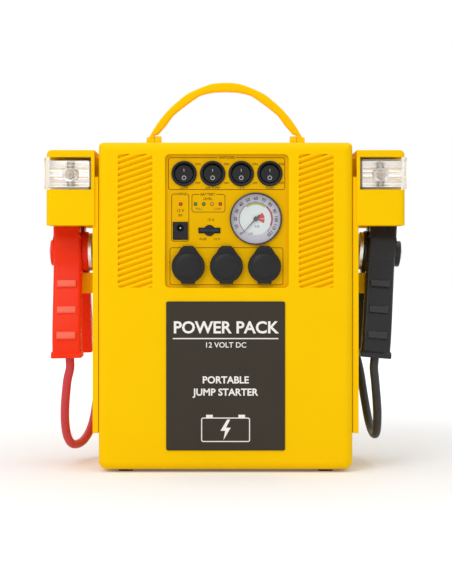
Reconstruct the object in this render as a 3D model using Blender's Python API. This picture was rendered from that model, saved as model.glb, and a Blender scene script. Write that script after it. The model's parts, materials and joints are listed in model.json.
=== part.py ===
"""Portable jump starter pack: case, control panel, lamps, carry handle and two battery clamps.

Metres, +Z up, +X to the right of someone who faces the controls, -Y towards them.
The origin is the middle of the footprint, on the surface that the pack stands on.
Both sides are built from one description: side is -1 on the left and +1 on the right.
"""
import math

import bmesh
import bpy
from mathutils import Matrix, Vector

# ---- sides of the round pieces ------------------------------------------------------------
ROUND = 24              # knobs, sockets and hubs
ROUND_SMALL = 12        # pins, lamps and other small pieces
ROUND_LARGE = 32        # the gauge

# ---- clearances -------------------------------------------------------------------------
GAP = 0.0003            # between pieces that touch
RUN = 0.0004            # round a piece that turns in its seat

# ---- case -------------------------------------------------------------------------------
CASE_W = 0.2296
CASE_D = 0.120
CASE_TOP = 0.298
FOOT_H = 0.002
WALL = 0.003
FRONT_R = 0.008         # rounding round the front and the back face
TOP_R = 0.0045
BASE_R = 0.008

# ---- control panel ----------------------------------------------------------------------
WINDOW_SIDE = 0.00625       # panel left on each side of the outlet row
WINDOW_H = 0.120
WINDOW_X = 0.0012
WINDOW_Z = 0.2268
WINDOW_R = 0.004
PANEL_LIP = 0.004       # how far the panel reaches behind the case wall
PANEL_T = 0.0025

SWITCH_X = -0.0375
SWITCH_Z = 0.2696
SWITCH_PITCH = 0.0258
SWITCH_COUNT = 4
SWITCH_R = 0.0115
SWITCH_BARREL_R = 0.0099
SWITCH_PROUD = 0.002
ROCKER_R = 0.0083
ROCKER_TILT = math.radians(9)

OUTLET_SHIFT = 0.00065      # middle of the outlet row
OUTLET_Z = 0.1859
OUTLET_SPACE = 0.00455      # between two outlet flanges
OUTLET_COUNT = 3
OUTLET_R = 0.0149
OUTLET_BORE_R = 0.0105
OUTLET_DEPTH = 0.030
OUTLET_WALL = 0.0027
FLANGE_T = 0.0015
CAP_T = 0.0032
CAP_STRAP = 0.0025          # from the flange's edge to the cap's hinge

GAUGE_X = 0.0273
GAUGE_Z = 0.2289
GAUGE_R = 0.0237
GAUGE_PROUD = 0.0025
GAUGE_DEPTH = 0.024
NEEDLE_ANGLE = math.radians(228)

JACK_X = -0.0408
JACK_Z = 0.218
JACK_W = 0.0132
JACK_H = 0.0157
JACK_BORE_R = 0.00315
JACK_PIN_R = 0.001

FUSE_X = -0.0146
FUSE_Z = 0.2183
FUSE_W = 0.0193
FUSE_H = 0.0046
FUSE_DISC_R = 0.0048

LED_R = 0.0015
LED_Z = 0.2422
CHARGE_LED_X = -0.0405
BATTERY_LED_X = -0.0272
BATTERY_LED_PITCH = 0.00747
BATTERY_LED_COUNT = 4

# ---- front face -------------------------------------------------------------------------
LABEL_W = 0.107
LABEL_Z0 = 0.0203
LABEL_Z1 = 0.1544
LABEL_T = 0.0006

# ---- side panels, lamps and clamp parking -------------------------------------------------
PLATE_T = 0.0052
PLATE_FRONT_IN = 0.006      # from the case front to the plate's front edge
PLATE_Z0 = 0.035
POD_IN = 0.0037             # slit between the case and the pod
POD_W = 0.0438
POD_Z0 = 0.223
POD_Z1 = 0.291
POD_EDGE_IN = 0.004         # from the case front and back to the pod's
POD_WALL = 0.003
POD_R = 0.005
LAMP_DEPTH = 0.0303         # from the pod's front to the bulkhead behind the lamp
LENS_H = 0.0289
LENS_Z0 = 0.2556
LENS_PROUD = 0.004
LENS_SIDE_PROUD = 0.0014
LENS_T = 0.002
POST_OUT = 0.018            # how far the parking post stands out from the plate
POST_H = 0.019
POST_BACK = 0.009           # from the clamp's pivot to the post's front and back faces
POST_FORE = 0.001

# ---- carry handle -----------------------------------------------------------------------
HANDLE_Y = 0.007
HANDLE_T = 0.009
HANDLE_PIVOT_UP = 0.0053    # pivot above the case top
HANDLE_FOOT_IN = 0.067
HANDLE_FOOT_OUT = 0.0745
HANDLE_PIN_R = 0.0025
EAR_T = 0.006
EAR_W = 0.011

# ---- battery clamps -----------------------------------------------------------------------
CLAMP_OUT = 0.0295          # from the case side to the middle of the clamp
CLAMP_Z = 0.199
CLAMP_IN = 0.0227           # from the lamp's bulkhead back to the clamp's pivot
CLAMP_W = 0.0275
CLAMP_TILT = {-1: math.radians(-1.1), 1: math.radians(4.7)}
HUB_R = 0.019
HUB_W = 0.039
LEVER_HUB_R = 0.018
LEVER_HUB_W = 0.0174
SPRING_GAP_W = 0.009
PIVOT_R = 0.0027
PIVOT_HEAD_R = 0.006
PIVOT_HEAD_T = 0.0017
JAW_TIP = 0.067
JAW_PLATE_T = 0.004
HANDLE_END = -0.0965
SPRING_R = 0.0042
SPRING_WIRE_R = 0.0009
SPRING_TURNS = 3

# ---- cables -------------------------------------------------------------------------------
CABLE_R = 0.004
GLAND_IN = 0.009            # from the case back to the gland's middle
GLAND_Z = 0.150
GLAND_H = 0.018
GLAND_OUT = 0.0067          # from the case side to the cable's middle
GLAND_W = 0.011

# ---- inside the case ------------------------------------------------------------------------
BATTERY_SIZE = (0.181, 0.077, 0.167)
BOARD_T = 0.0016
BOARD_BACK = 0.032          # from the panel's back face to the board
POST_W = 0.005
MOTOR_R = 0.023
MOTOR_LEN = 0.075
HEAD_LEN = 0.035
SHELF_Z = 0.212

# ---- worked out from the sizes above --------------------------------------------------------
FRONT_Y = -CASE_D / 2
SIDE_X = CASE_W / 2
CASE_Z0 = FOOT_H + GAP
PANEL_Y = FRONT_Y + WALL + GAP
PANEL_BACK_Y = PANEL_Y + PANEL_T
PLATE_X = SIDE_X + GAP + PLATE_T
POD_X0 = SIDE_X + POD_IN
POD_X1 = POD_X0 + POD_W
POD_Y0 = FRONT_Y + POD_EDGE_IN
POD_Y1 = -POD_Y0
BULKHEAD_Y = POD_Y0 + LAMP_DEPTH
CLAMP_Y = BULKHEAD_Y + POD_WALL + CLAMP_IN
POST_Y0 = CLAMP_Y - POST_BACK
POST_Y1 = CLAMP_Y + POST_FORE
GLAND_Y = CASE_D / 2 - GLAND_IN
OUTLET_PITCH = 2 * OUTLET_R + OUTLET_SPACE
OUTLET_X = OUTLET_SHIFT - OUTLET_PITCH * (OUTLET_COUNT - 1) / 2
CAP_HINGE_UP = OUTLET_R + CAP_STRAP
WINDOW_W = OUTLET_PITCH * (OUTLET_COUNT - 1) + 2 * (OUTLET_R + WINDOW_SIDE)
HANDLE_PIVOT_Z = CASE_TOP + HANDLE_PIVOT_UP
CLAMP_X = SIDE_X + CLAMP_OUT

YELLOW = (0.96, 0.55, 0.0, 1.0)
BLACK = (0.02, 0.02, 0.021, 1.0)
RED = (0.78, 0.035, 0.012, 1.0)
METAL = (0.75, 0.75, 0.76, 1.0)
COPPER = (0.72, 0.35, 0.19, 1.0)


# ---- helpers --------------------------------------------------------------------------------
def clear_scene():
    """Remove every object of the start-up scene."""
    for obj in list(bpy.data.objects):
        bpy.data.objects.remove(obj, do_unlink=True)


def material(name, colour, roughness=0.45, metallic=0.0):
    """Return a Principled material, made once for each name."""
    found = bpy.data.materials.get(name)
    if found:
        return found
    made = bpy.data.materials.new(name)
    made.use_nodes = True
    shader = made.node_tree.nodes["Principled BSDF"]
    shader.inputs["Base Color"].default_value = colour
    shader.inputs["Roughness"].default_value = roughness
    shader.inputs["Metallic"].default_value = metallic
    made.diffuse_color = colour
    return made


def finish(name, bm, mat, at=(0, 0, 0), tilt=0.0, smooth=30):
    """Turn a bmesh, given relative to `at`, into an object placed there and turned about Y."""
    bmesh.ops.recalc_face_normals(bm, faces=bm.faces[:])
    mesh = bpy.data.meshes.new(name)
    bm.to_mesh(mesh)
    bm.free()
    mesh.shade_smooth()
    mesh.set_sharp_from_angle(angle=math.radians(smooth))
    mesh.materials.append(mat)
    obj = bpy.data.objects.new(name, mesh)
    bpy.context.collection.objects.link(obj)
    obj.location = at
    obj.rotation_euler = (0, tilt, 0)
    return obj


def shape(target, operation, name, bm, at=(0, 0, 0), tilt=0.0):
    """Cut a helper solid from an object, or join it on, with an exact Boolean."""
    helper = finish(name, bm, material("helper", (0.5, 0.5, 0.5, 1)), at, tilt)
    helper.hide_render = True
    helper.display_type = "WIRE"
    modifier = target.modifiers.new(name, "BOOLEAN")
    modifier.operation = operation
    modifier.solver = "EXACT"
    modifier.object = helper
    return target


def box(bm, low, high):
    """Add a box between two corners, given in either order."""
    low, high = zip(*[sorted(pair) for pair in zip(low, high)])
    size = [b - a for a, b in zip(low, high)]
    middle = [(a + b) / 2 for a, b in zip(low, high)]
    matrix = Matrix.Translation(middle) @ Matrix.Diagonal((*size, 1))
    return bmesh.ops.create_cube(bm, size=1, matrix=matrix)["verts"]


def round_edges(bm, chosen, radius, segments=3):
    """Bevel the edges that `chosen` accepts; it is given each edge's middle and direction."""
    edges = []
    for edge in bm.edges:
        a, b = edge.verts[0].co, edge.verts[1].co
        if chosen((a + b) / 2, (b - a).normalized()):
            edges.append(edge)
    bmesh.ops.bevel(bm, geom=edges, offset=radius, segments=segments, profile=0.5,
                    affect="EDGES", clamp_overlap=True)


def prism(bm, outline, axis, start, end):
    """Extrude a closed outline along an axis; its points are the other two coordinates in order."""
    def point(pair, along):
        if axis == "X":
            return (along, pair[0], pair[1])
        if axis == "Y":
            return (pair[0], along, pair[1])
        return (pair[0], pair[1], along)
    first = [bm.verts.new(point(pair, start)) for pair in outline]
    last = [bm.verts.new(point(pair, end)) for pair in outline]
    bm.faces.new(first)
    bm.faces.new(last[::-1])
    count = len(outline)
    for i in range(count):
        j = (i + 1) % count
        bm.faces.new((first[i], last[i], last[j], first[j]))


def turned(bm, profile, axis, centre=(0, 0, 0), steps=ROUND, ring=False):
    """Turn a profile of (radius, along) points about an axis through `centre`."""
    centre = Vector(centre)
    rows = []
    for radius, along in profile:
        count = steps if radius > 0 else 1
        row = []
        for i in range(count):
            angle = 2 * math.pi * i / steps
            a, b = radius * math.cos(angle), radius * math.sin(angle)
            place = {"X": (along, a, b), "Y": (a, along, b), "Z": (a, b, along)}[axis]
            row.append(bm.verts.new(centre + Vector(place)))
        rows.append(row)
    pairs = list(zip(rows, rows[1:]))
    if ring:
        pairs.append((rows[-1], rows[0]))
    for low, high in pairs:
        for i in range(steps):
            j = (i + 1) % steps
            a, b, c, d = low[i % len(low)], low[j % len(low)], high[j % len(high)], high[i % len(high)]
            corners = list(dict.fromkeys([a, b, c, d]))
            if len(corners) > 2:
                bm.faces.new(corners)


def disc(bm, radius, axis, start, end, centre=(0, 0, 0), steps=ROUND):
    """Add a plain cylinder."""
    turned(bm, [(0, start), (radius, start), (radius, end), (0, end)], axis, centre, steps)


def arc(centre, radius, start, end, steps):
    """Return points on an arc; angles in degrees, counter-clockwise from the first axis."""
    points = []
    for i in range(steps + 1):
        angle = math.radians(start + (end - start) * i / steps)
        points.append((centre[0] + radius * math.cos(angle), centre[1] + radius * math.sin(angle)))
    return points


def rounded_outline(x0, x1, z0, z1, top_r, base_r, steps=4):
    """Return a rectangle with its two top and its two bottom corners rounded."""
    points = arc((x1 - top_r, z1 - top_r), top_r, 0, 90, steps)
    points += arc((x0 + top_r, z1 - top_r), top_r, 90, 180, steps)
    points += arc((x0 + base_r, z0 + base_r), base_r, 180, 270, steps)
    points += arc((x1 - base_r, z0 + base_r), base_r, 270, 360, steps)
    return points


def smooth_route(points, spacing):
    """Return evenly spread points of a Catmull-Rom curve through the given ones."""
    points = [Vector(p) for p in points]
    ends = [points[0] * 2 - points[1]] + points + [points[-1] * 2 - points[-2]]
    fine = []
    for i in range(1, len(ends) - 2):
        p0, p1, p2, p3 = ends[i - 1:i + 3]
        for k in range(24):
            t = k / 24
            fine.append(0.5 * ((2 * p1) + (p2 - p0) * t + (2 * p0 - 5 * p1 + 4 * p2 - p3) * t * t
                               + (3 * p1 - p0 - 3 * p2 + p3) * t ** 3))
    fine.append(points[-1])
    length = sum((b - a).length for a, b in zip(fine, fine[1:]))
    count = max(2, round(length / spacing))
    route, walked, target = [fine[0]], 0.0, length / count
    for a, b in zip(fine, fine[1:]):
        walked += (b - a).length
        if walked >= target - 1e-9 and len(route) < count:
            route.append(b)
            target += length / count
    route.append(fine[-1])
    return route


def tube(name, points, radius, mat, at=(0, 0, 0), tilt=0.0, sides=2):
    """Add a round wire or cable along a list of points, closed at both ends."""
    curve = bpy.data.curves.new(name, "CURVE")
    curve.dimensions = "3D"
    curve.bevel_depth = radius
    curve.bevel_resolution = sides
    curve.use_fill_caps = True
    spline = curve.splines.new("POLY")
    spline.points.add(len(points) - 1)
    for point, place in zip(spline.points, points):
        point.co = (*place, 1)
    curve.materials.append(mat)
    obj = bpy.data.objects.new(name, curve)
    bpy.context.collection.objects.link(obj)
    obj.location = at
    obj.rotation_euler = (0, tilt, 0)
    return obj


# ---- case -------------------------------------------------------------------------------------
def shell_half(name, front):
    """One half of the case: an open tub with a rounded outer face; front is -1 or +1."""
    seam, face = front * GAP / 2, front * CASE_D / 2
    bm = bmesh.new()

    def row(inset, y, wall):
        edge = inset + wall
        points = rounded_outline(-SIDE_X + edge, SIDE_X - edge, CASE_Z0 + edge, CASE_TOP - edge,
                                 max(TOP_R - edge, 0.001), max(BASE_R - edge, 0.001))
        return [bm.verts.new((x, y, z)) for x, z in points]

    def side(wall):
        radius = FRONT_R - wall
        rows = [row(0, seam, wall)]
        for i in range(6):
            angle = math.pi / 2 * i / 5
            inset = radius * (1 - math.cos(angle))
            rows.append(row(inset, face - front * (wall + radius * (1 - math.sin(angle))), wall))
        return rows

    outer, inner = side(0), side(WALL)
    for rows in (outer, inner):
        for low, high in zip(rows, rows[1:]):
            for i in range(len(low)):
                j = (i + 1) % len(low)
                bm.faces.new((low[i], low[j], high[j], high[i]))
        bm.faces.new(rows[-1])
    for i in range(len(outer[0])):
        j = (i + 1) % len(outer[0])
        bm.faces.new((outer[0][i], outer[0][j], inner[0][j], inner[0][i]))
    return finish(name, bm, material("case_yellow", YELLOW, 0.42))


def window_outline(grow=0.0):
    """The recessed window's outline, optionally grown on every side."""
    half_w, half_h = WINDOW_W / 2 + grow, WINDOW_H / 2 + grow
    radius = WINDOW_R + max(grow, 0)
    return rounded_outline(WINDOW_X - half_w, WINDOW_X + half_w, WINDOW_Z - half_h,
                           WINDOW_Z + half_h, radius, radius)


def front_shell():
    """Front half of the case, with the window for the panel."""
    shell = shell_half("front_shell", -1)
    bm = bmesh.new()
    prism(bm, window_outline(), "Y", FRONT_Y - 0.01, FRONT_Y + WALL + 0.001)
    return shape(shell, "DIFFERENCE", "window_cutter", bm)


def rear_shell():
    """Rear half of the case, with the ears that carry the handle and the compressor's shelf."""
    shell = shell_half("rear_shell", 1)
    bm = bmesh.new()
    pivot = HANDLE_PIVOT_Z
    for side in (-1, 1):
        outer = side * (HANDLE_FOOT_IN - GAP)
        inner = outer - side * EAR_T
        outline = arc((HANDLE_Y, pivot), EAR_W / 2, 0, 180, 8)
        outline += [(HANDLE_Y + way * EAR_W / 2, CASE_TOP - WALL / 2) for way in (-1, 1)]
        prism(bm, outline, "X", inner, outer)
    shape(shell, "UNION", "ear_solid", bm)
    bm = bmesh.new()
    for side in (-1, 1):
        start = side * (HANDLE_FOOT_IN - GAP - EAR_T / 2)
        disc(bm, HANDLE_PIN_R, "X", start, side * (HANDLE_FOOT_OUT - GAP), (0, HANDLE_Y, pivot),
             ROUND_SMALL)
    shape(shell, "UNION", "handle_pin_solid", bm)
    bm = bmesh.new()
    box(bm, (-MOTOR_LEN / 2, 0.012, SHELF_Z - WALL), (MOTOR_LEN / 2, CASE_D / 2 - WALL / 2, SHELF_Z))
    return shape(shell, "UNION", "shelf_solid", bm)


def feet():
    """Two rubber strips under the case."""
    for side, word in ((-1, "left"), (1, "right")):
        bm = bmesh.new()
        middle = side * (SIDE_X - 0.024)
        box(bm, (middle - 0.007, FRONT_Y + 0.012, 0), (middle + 0.007, -FRONT_Y - 0.012, FOOT_H))
        finish(f"{word}_foot", bm, material("foot_rubber", BLACK, 0.8))


def label_plate():
    """Thin dark plate on the lower front face."""
    bm = bmesh.new()
    y1 = FRONT_Y - GAP
    box(bm, (-LABEL_W / 2, y1 - LABEL_T, LABEL_Z0), (LABEL_W / 2, y1, LABEL_Z1))
    finish("label_plate", bm, material("label_dark", (0.035, 0.031, 0.026, 1), 0.35))


# ---- control panel ------------------------------------------------------------------------------
def switch_places():
    """Middle of each switch, as (x, z)."""
    return [(SWITCH_X + i * SWITCH_PITCH, SWITCH_Z) for i in range(SWITCH_COUNT)]


def outlet_places():
    """Middle of each 12 V outlet, as (x, z)."""
    return [(OUTLET_X + i * OUTLET_PITCH, OUTLET_Z) for i in range(OUTLET_COUNT)]


def led_places():
    """Each indicator as (name, x, colour)."""
    places = [("charge_led", CHARGE_LED_X, (0.8, 0.03, 0.02, 1))]
    colours = [(0.03, 0.45, 0.08, 1), (0.03, 0.45, 0.08, 1), (0.85, 0.4, 0.02, 1), (0.8, 0.03, 0.02, 1)]
    for i in range(BATTERY_LED_COUNT):
        places.append((f"battery_led_{i + 1}", BATTERY_LED_X + i * BATTERY_LED_PITCH, colours[i]))
    return places


def board_post_places():
    """Middle of each post that carries the circuit board, as (x, z)."""
    half = WINDOW_W / 2 + PANEL_LIP - POST_W
    heights = (WINDOW_Z - 0.024, WINDOW_Z + 0.028)
    return [(WINDOW_X + side * half, z) for side in (-1, 1) for z in heights]


def control_panel():
    """Flat panel behind the window, with a hole for each fitting and posts for the board."""
    bm = bmesh.new()
    prism(bm, window_outline(PANEL_LIP), "Y", PANEL_Y, PANEL_BACK_Y)
    panel = finish("control_panel", bm, material("panel_yellow", YELLOW, 0.45))
    bm = bmesh.new()
    y0, y1 = PANEL_Y - 0.002, PANEL_BACK_Y + 0.002
    for x, z in switch_places():
        disc(bm, SWITCH_BARREL_R + GAP, "Y", y0, y1, (x, 0, z))
    for x, z in outlet_places():
        disc(bm, OUTLET_BORE_R + OUTLET_WALL + GAP, "Y", y0, y1, (x, 0, z))
    disc(bm, GAUGE_R - 0.0012 + GAP, "Y", y0, y1, (GAUGE_X, 0, GAUGE_Z), ROUND_LARGE)
    for name, x, colour in led_places():
        disc(bm, LED_R + GAP, "Y", y0, y1, (x, 0, LED_Z), ROUND_SMALL)
    half_w, half_h = JACK_W / 2 + GAP, JACK_H / 2 + GAP
    box(bm, (JACK_X - half_w, y0, JACK_Z - half_h), (JACK_X + half_w, y1, JACK_Z + half_h))
    prism(bm, fuse_outline(GAP), "Y", y0, y1)
    shape(panel, "DIFFERENCE", "panel_hole_cutter", bm)
    bm = bmesh.new()
    for x, z in board_post_places():
        box(bm, (x - POST_W / 2, PANEL_BACK_Y - PANEL_T / 2, z - POST_W / 2),
            (x + POST_W / 2, PANEL_BACK_Y + BOARD_BACK - GAP, z + POST_W / 2))
    return shape(panel, "UNION", "board_post_solid", bm)


def switch_bezel(index, x, z):
    """Round switch body with a flange; the rocker sits in its mouth."""
    front = PANEL_Y - SWITCH_PROUD
    mouth = ROCKER_R + RUN
    floor = front + 0.012
    profile = [(0, floor + 0.0015), (SWITCH_BARREL_R, floor + 0.0015), (SWITCH_BARREL_R, PANEL_Y - GAP),
               (SWITCH_R, PANEL_Y - GAP), (SWITCH_R, front + 0.0006), (SWITCH_R - 0.0008, front),
               (mouth + 0.0005, front), (mouth, front + 0.0005), (mouth, floor), (0, floor)]
    bm = bmesh.new()
    turned(bm, profile, "Y", (x, 0, z))
    finish(f"switch_bezel_{index}", bm, material("switch_black", BLACK, 0.35))


def switch_rocker(index, x, z):
    """Rocker cut from a ball about its pivot, with a shallow V face; it rests at off."""
    steps, flat, slope, back = ROUND, 0.0022, 0.16, 0.003
    bm = bmesh.new()
    rows = []
    for share in (0.0, 0.35, 0.7, 1.0):
        row = []
        for i in range(steps if share else 1):
            angle = 2 * math.pi * i / steps
            s = abs(math.sin(angle))
            a, b = 1 + (slope * s) ** 2, flat * slope * s
            edge = (-b + math.sqrt(b * b - a * (flat ** 2 - ROCKER_R ** 2))) / a
            r = share * edge
            row.append((r * math.cos(angle), -(flat + slope * r * s), r * math.sin(angle)))
        rows.append(row)
    for share in (0.35, 0.7, 1.0):
        row = []
        for i, (ex, ey, ez) in enumerate(rows[3]):
            angle = 2 * math.pi * i / steps
            y = ey + (back - ey) * share
            r = math.sqrt(ROCKER_R ** 2 - y * y)
            row.append((r * math.cos(angle), y, r * math.sin(angle)))
        rows.append(row)
    made = [[bm.verts.new(p) for p in row] for row in rows]
    for low, high in zip(made, made[1:]):
        for i in range(steps):
            j = (i + 1) % steps
            corners = list(dict.fromkeys([low[i % len(low)], low[j % len(low)], high[j], high[i]]))
            bm.faces.new(corners)
    bm.faces.new(made[-1])
    bmesh.ops.rotate(bm, verts=bm.verts[:], cent=(0, 0, 0), matrix=Matrix.Rotation(ROCKER_TILT, 3, "X"))
    at = (x, PANEL_Y - SWITCH_PROUD + 0.003, z)
    finish(f"switch_rocker_{index}", bm, material("rocker_black", BLACK, 0.3), at)


def outlet_socket(index, x, z):
    """Car-lighter socket: a flanged cup with a closed back."""
    barrel = OUTLET_BORE_R + OUTLET_WALL
    front = PANEL_Y - GAP - FLANGE_T
    back = front + OUTLET_DEPTH
    profile = [(0, back + 0.002), (barrel, back + 0.002), (barrel, PANEL_Y - GAP),
               (OUTLET_R, PANEL_Y - GAP), (OUTLET_R, front), (OUTLET_BORE_R, front),
               (OUTLET_BORE_R, back), (0, back)]
    bm = bmesh.new()
    turned(bm, profile, "Y", (x, 0, z))
    finish(f"outlet_socket_{index}", bm, material("socket_black", BLACK, 0.45))


def outlet_cap(index, x, z):
    """Rubber cap with a plug on its back, a finger tab below and a strap hinge above."""
    hinge = Vector((x, PANEL_Y - GAP - FLANGE_T - GAP - CAP_T / 2, z + CAP_HINGE_UP))
    top, drop = 0.0012, -CAP_HINGE_UP
    outline = [(-0.0051, top), (-0.0051 - 0.0045, drop + 0.0115)]
    outline += arc((0, drop), OUTLET_R, 140, 245, 12)
    outline += [(-0.0061, drop - OUTLET_R - 0.0008)]
    outline += [(-a, b) for a, b in reversed(outline)]
    bm = bmesh.new()
    prism(bm, outline, "Y", -CAP_T / 2, CAP_T / 2)
    cap = finish(f"outlet_cap_{index}", bm, material("cap_rubber", BLACK, 0.6), hinge)
    bm = bmesh.new()
    disc(bm, OUTLET_BORE_R - 0.0006, "Y", 0, CAP_T / 2 + 0.004, (0, 0, drop))
    shape(cap, "UNION", f"cap_plug_solid_{index}", bm, hinge)


def gauge():
    """Pressure gauge: a cup, a dial, a needle on a hub and a clear lens."""
    front = PANEL_Y - GAUGE_PROUD
    body, inner = GAUGE_R - 0.0012, GAUGE_R - 0.0016
    floor = PANEL_Y + 0.006
    place = (GAUGE_X, 0, GAUGE_Z)
    profile = [(0, front + GAUGE_DEPTH), (body, front + GAUGE_DEPTH), (body, PANEL_Y - GAP),
               (GAUGE_R, PANEL_Y - GAP), (GAUGE_R, front + 0.0006), (GAUGE_R - 0.0006, front),
               (inner, front), (inner, floor), (0, floor)]
    bm = bmesh.new()
    turned(bm, profile, "Y", place, ROUND_LARGE)
    finish("gauge_case", bm, material("gauge_rim", (0.05, 0.04, 0.03, 1), 0.35))
    bm = bmesh.new()
    dial_y = floor - GAP - 0.0008
    disc(bm, inner - GAP, "Y", dial_y, floor - GAP, place, ROUND_LARGE)
    finish("gauge_dial", bm, material("dial_white", (0.78, 0.76, 0.86, 1), 0.5))
    bm = bmesh.new()
    length, tail, half = 0.0167, 0.005, 0.0006
    outline = [(-tail, -half), (length, -half / 2), (length + half, 0), (length, half / 2), (-tail, half)]
    turn = Matrix.Rotation(NEEDLE_ANGLE, 2)
    outline = [tuple(turn @ Vector(p)) for p in outline]
    prism(bm, outline, "Y", -0.0006, 0)
    at = (GAUGE_X, dial_y - 0.0012, GAUGE_Z)
    needle = finish("gauge_needle", bm, material("needle_dark", (0.03, 0.025, 0.03, 1), 0.4), at)
    bm = bmesh.new()
    disc(bm, 0.0021, "Y", -0.0016, 0.0012 - GAP, (0, 0, 0), ROUND_SMALL)
    shape(needle, "UNION", "needle_hub_solid", bm, at)
    bm = bmesh.new()
    disc(bm, inner - GAP, "Y", front + 0.0004, front + 0.0016, place, ROUND_LARGE)
    finish("gauge_lens", bm, material("gauge_glass", (0.9, 0.92, 0.95, 1), 0.05))


def dc_jack():
    """Charger socket block with a barrel hole and its centre pin."""
    bm = bmesh.new()
    front = PANEL_Y - 0.0012
    box(bm, (JACK_X - JACK_W / 2, front, JACK_Z - JACK_H / 2),
        (JACK_X + JACK_W / 2, front + 0.014, JACK_Z + JACK_H / 2))
    jack = finish("dc_jack", bm, material("jack_black", BLACK, 0.4))
    bm = bmesh.new()
    ring = [(JACK_PIN_R, front - 0.002), (JACK_BORE_R, front - 0.002), (JACK_BORE_R, front + 0.009),
            (JACK_PIN_R, front + 0.009)]
    turned(bm, ring, "Y", (JACK_X, 0, JACK_Z + 0.0025), ROUND_SMALL, ring=True)
    shape(jack, "DIFFERENCE", "jack_bore_cutter", bm)


def fuse_outline(grow=0.0):
    """Outline of the fuse holder's face: a bar with a disc at its middle."""
    half_w, half_h, radius = FUSE_W / 2 + grow, FUSE_H / 2 + grow, FUSE_DISC_R + grow
    meet = math.degrees(math.asin(half_h / radius))
    points = [(FUSE_X + half_w, FUSE_Z - half_h), (FUSE_X + half_w, FUSE_Z + half_h)]
    points += arc((FUSE_X, FUSE_Z), radius, meet, 180 - meet, 8)
    points += [(FUSE_X - half_w, FUSE_Z + half_h), (FUSE_X - half_w, FUSE_Z - half_h)]
    points += arc((FUSE_X, FUSE_Z), radius, 180 + meet, 360 - meet, 8)
    return points


def fuse():
    """Blade fuse in its holder; it pulls straight out."""
    wall, proud, depth = 0.0007, 0.001, 0.014
    front = PANEL_Y - proud
    bm = bmesh.new()
    prism(bm, fuse_outline(), "Y", front, front + depth + 0.0015)
    holder = finish("fuse_holder", bm, material("fuse_black", BLACK, 0.4))
    half_w, half_h = FUSE_W / 2 - wall, FUSE_H / 2 - wall
    bm = bmesh.new()
    box(bm, (FUSE_X - half_w, front - 0.002, FUSE_Z - half_h),
        (FUSE_X + half_w, front + depth, FUSE_Z + half_h))
    shape(holder, "DIFFERENCE", "fuse_pocket_cutter", bm)
    half_w, half_t = half_w - GAP, half_h - GAP
    blade, head, tip = 0.0052, 0.0045, depth - GAP - 0.001
    outline = [(-half_w, -0.0012), (half_w, -0.0012), (half_w, tip), (half_w - blade, tip),
               (half_w - blade, head), (-half_w + blade, head), (-half_w + blade, tip), (-half_w, tip)]
    bm = bmesh.new()
    prism(bm, outline, "Z", -half_t, half_t)
    finish("blade_fuse", bm, material("fuse_blue", (0.02, 0.2, 0.75, 1), 0.3), (FUSE_X, front, FUSE_Z))


def indicators():
    """Small domed lamps behind the panel."""
    for name, x, colour in led_places():
        tip = PANEL_Y - 0.0011
        profile = [(0, PANEL_BACK_Y + 0.005), (LED_R + 0.0005, PANEL_BACK_Y + 0.005),
                   (LED_R + 0.0005, PANEL_BACK_Y + GAP), (LED_R, PANEL_BACK_Y + GAP)]
        for i in range(4):
            angle = math.radians(24 * i)
            profile.append((LED_R * math.cos(angle), tip + LED_R * (1 - math.sin(angle))))
        profile.append((0, tip))
        bm = bmesh.new()
        turned(bm, profile, "Y", (x, 0, LED_Z), ROUND_SMALL)
        finish(name, bm, material(name, colour, 0.2))


# ---- side panels and lamps -------------------------------------------------------------------
def side_panel(side, word):
    """Side moulding: the plate on the case, the lamp pod with its docking slot, and the post."""
    bm = bmesh.new()
    box(bm, (side * POD_X0, POD_Y0, POD_Z0), (side * POD_X1, POD_Y1, POD_Z1))
    round_edges(bm, lambda mid, way: mid.z > POD_Z1 - 1e-4 and abs(mid.x) > POD_X1 - 1e-4
                or abs(way.z) > 0.9 and abs(mid.x) > POD_X1 - 1e-4, POD_R)
    panel = finish(f"{word}_side_panel", bm, material("pod_yellow", YELLOW, 0.42))
    front, rear = FRONT_Y + PLATE_FRONT_IN, GLAND_Y - GLAND_W - 0.002
    slit_z = POD_Z0 + 0.044
    outline = [(front, PLATE_Z0), (rear, PLATE_Z0), (rear, POD_Z0 - 0.027), (POD_Y1 - 0.002, POD_Z0 - 0.019),
               (POD_Y1 - 0.002, POD_Z1 - 0.006), (front + 0.014, POD_Z1 - 0.006), (front + 0.014, slit_z),
               (front, slit_z)]
    bm = bmesh.new()
    prism(bm, outline, "X", side * (SIDE_X + GAP), side * PLATE_X)
    shape(panel, "UNION", f"{word}_plate_solid", bm)
    bm = bmesh.new()
    post_top = CLAMP_Z - HUB_R - GAP
    box(bm, (side * (PLATE_X - PLATE_T / 2), POST_Y0, post_top - POST_H),
        (side * (PLATE_X + POST_OUT), POST_Y1, post_top))
    shape(panel, "UNION", f"{word}_post_solid", bm)
    bm = bmesh.new()
    beyond = POD_X1 + 0.01
    jaw_top = CLAMP_Z + JAW_TIP + 0.014
    box(bm, (side * PLATE_X, BULKHEAD_Y + POD_WALL, POD_Z0 - 0.02),
        (side * beyond, POD_Y1 - POD_WALL, jaw_top))
    box(bm, (side * (POD_X0 + POD_WALL), POD_Y0 - 0.01, LENS_Z0 - GAP),
        (side * beyond, BULKHEAD_Y, LENS_Z0 + LENS_H + GAP))
    box(bm, (side * (PLATE_X + 0.001), POD_Y0 + POD_WALL, POD_Z0 - 0.02),
        (side * (POD_X1 - POD_WALL), BULKHEAD_Y - 0.001, LENS_Z0 - GAP - POD_WALL))
    shape(panel, "DIFFERENCE", f"{word}_pod_cutter", bm)


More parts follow.
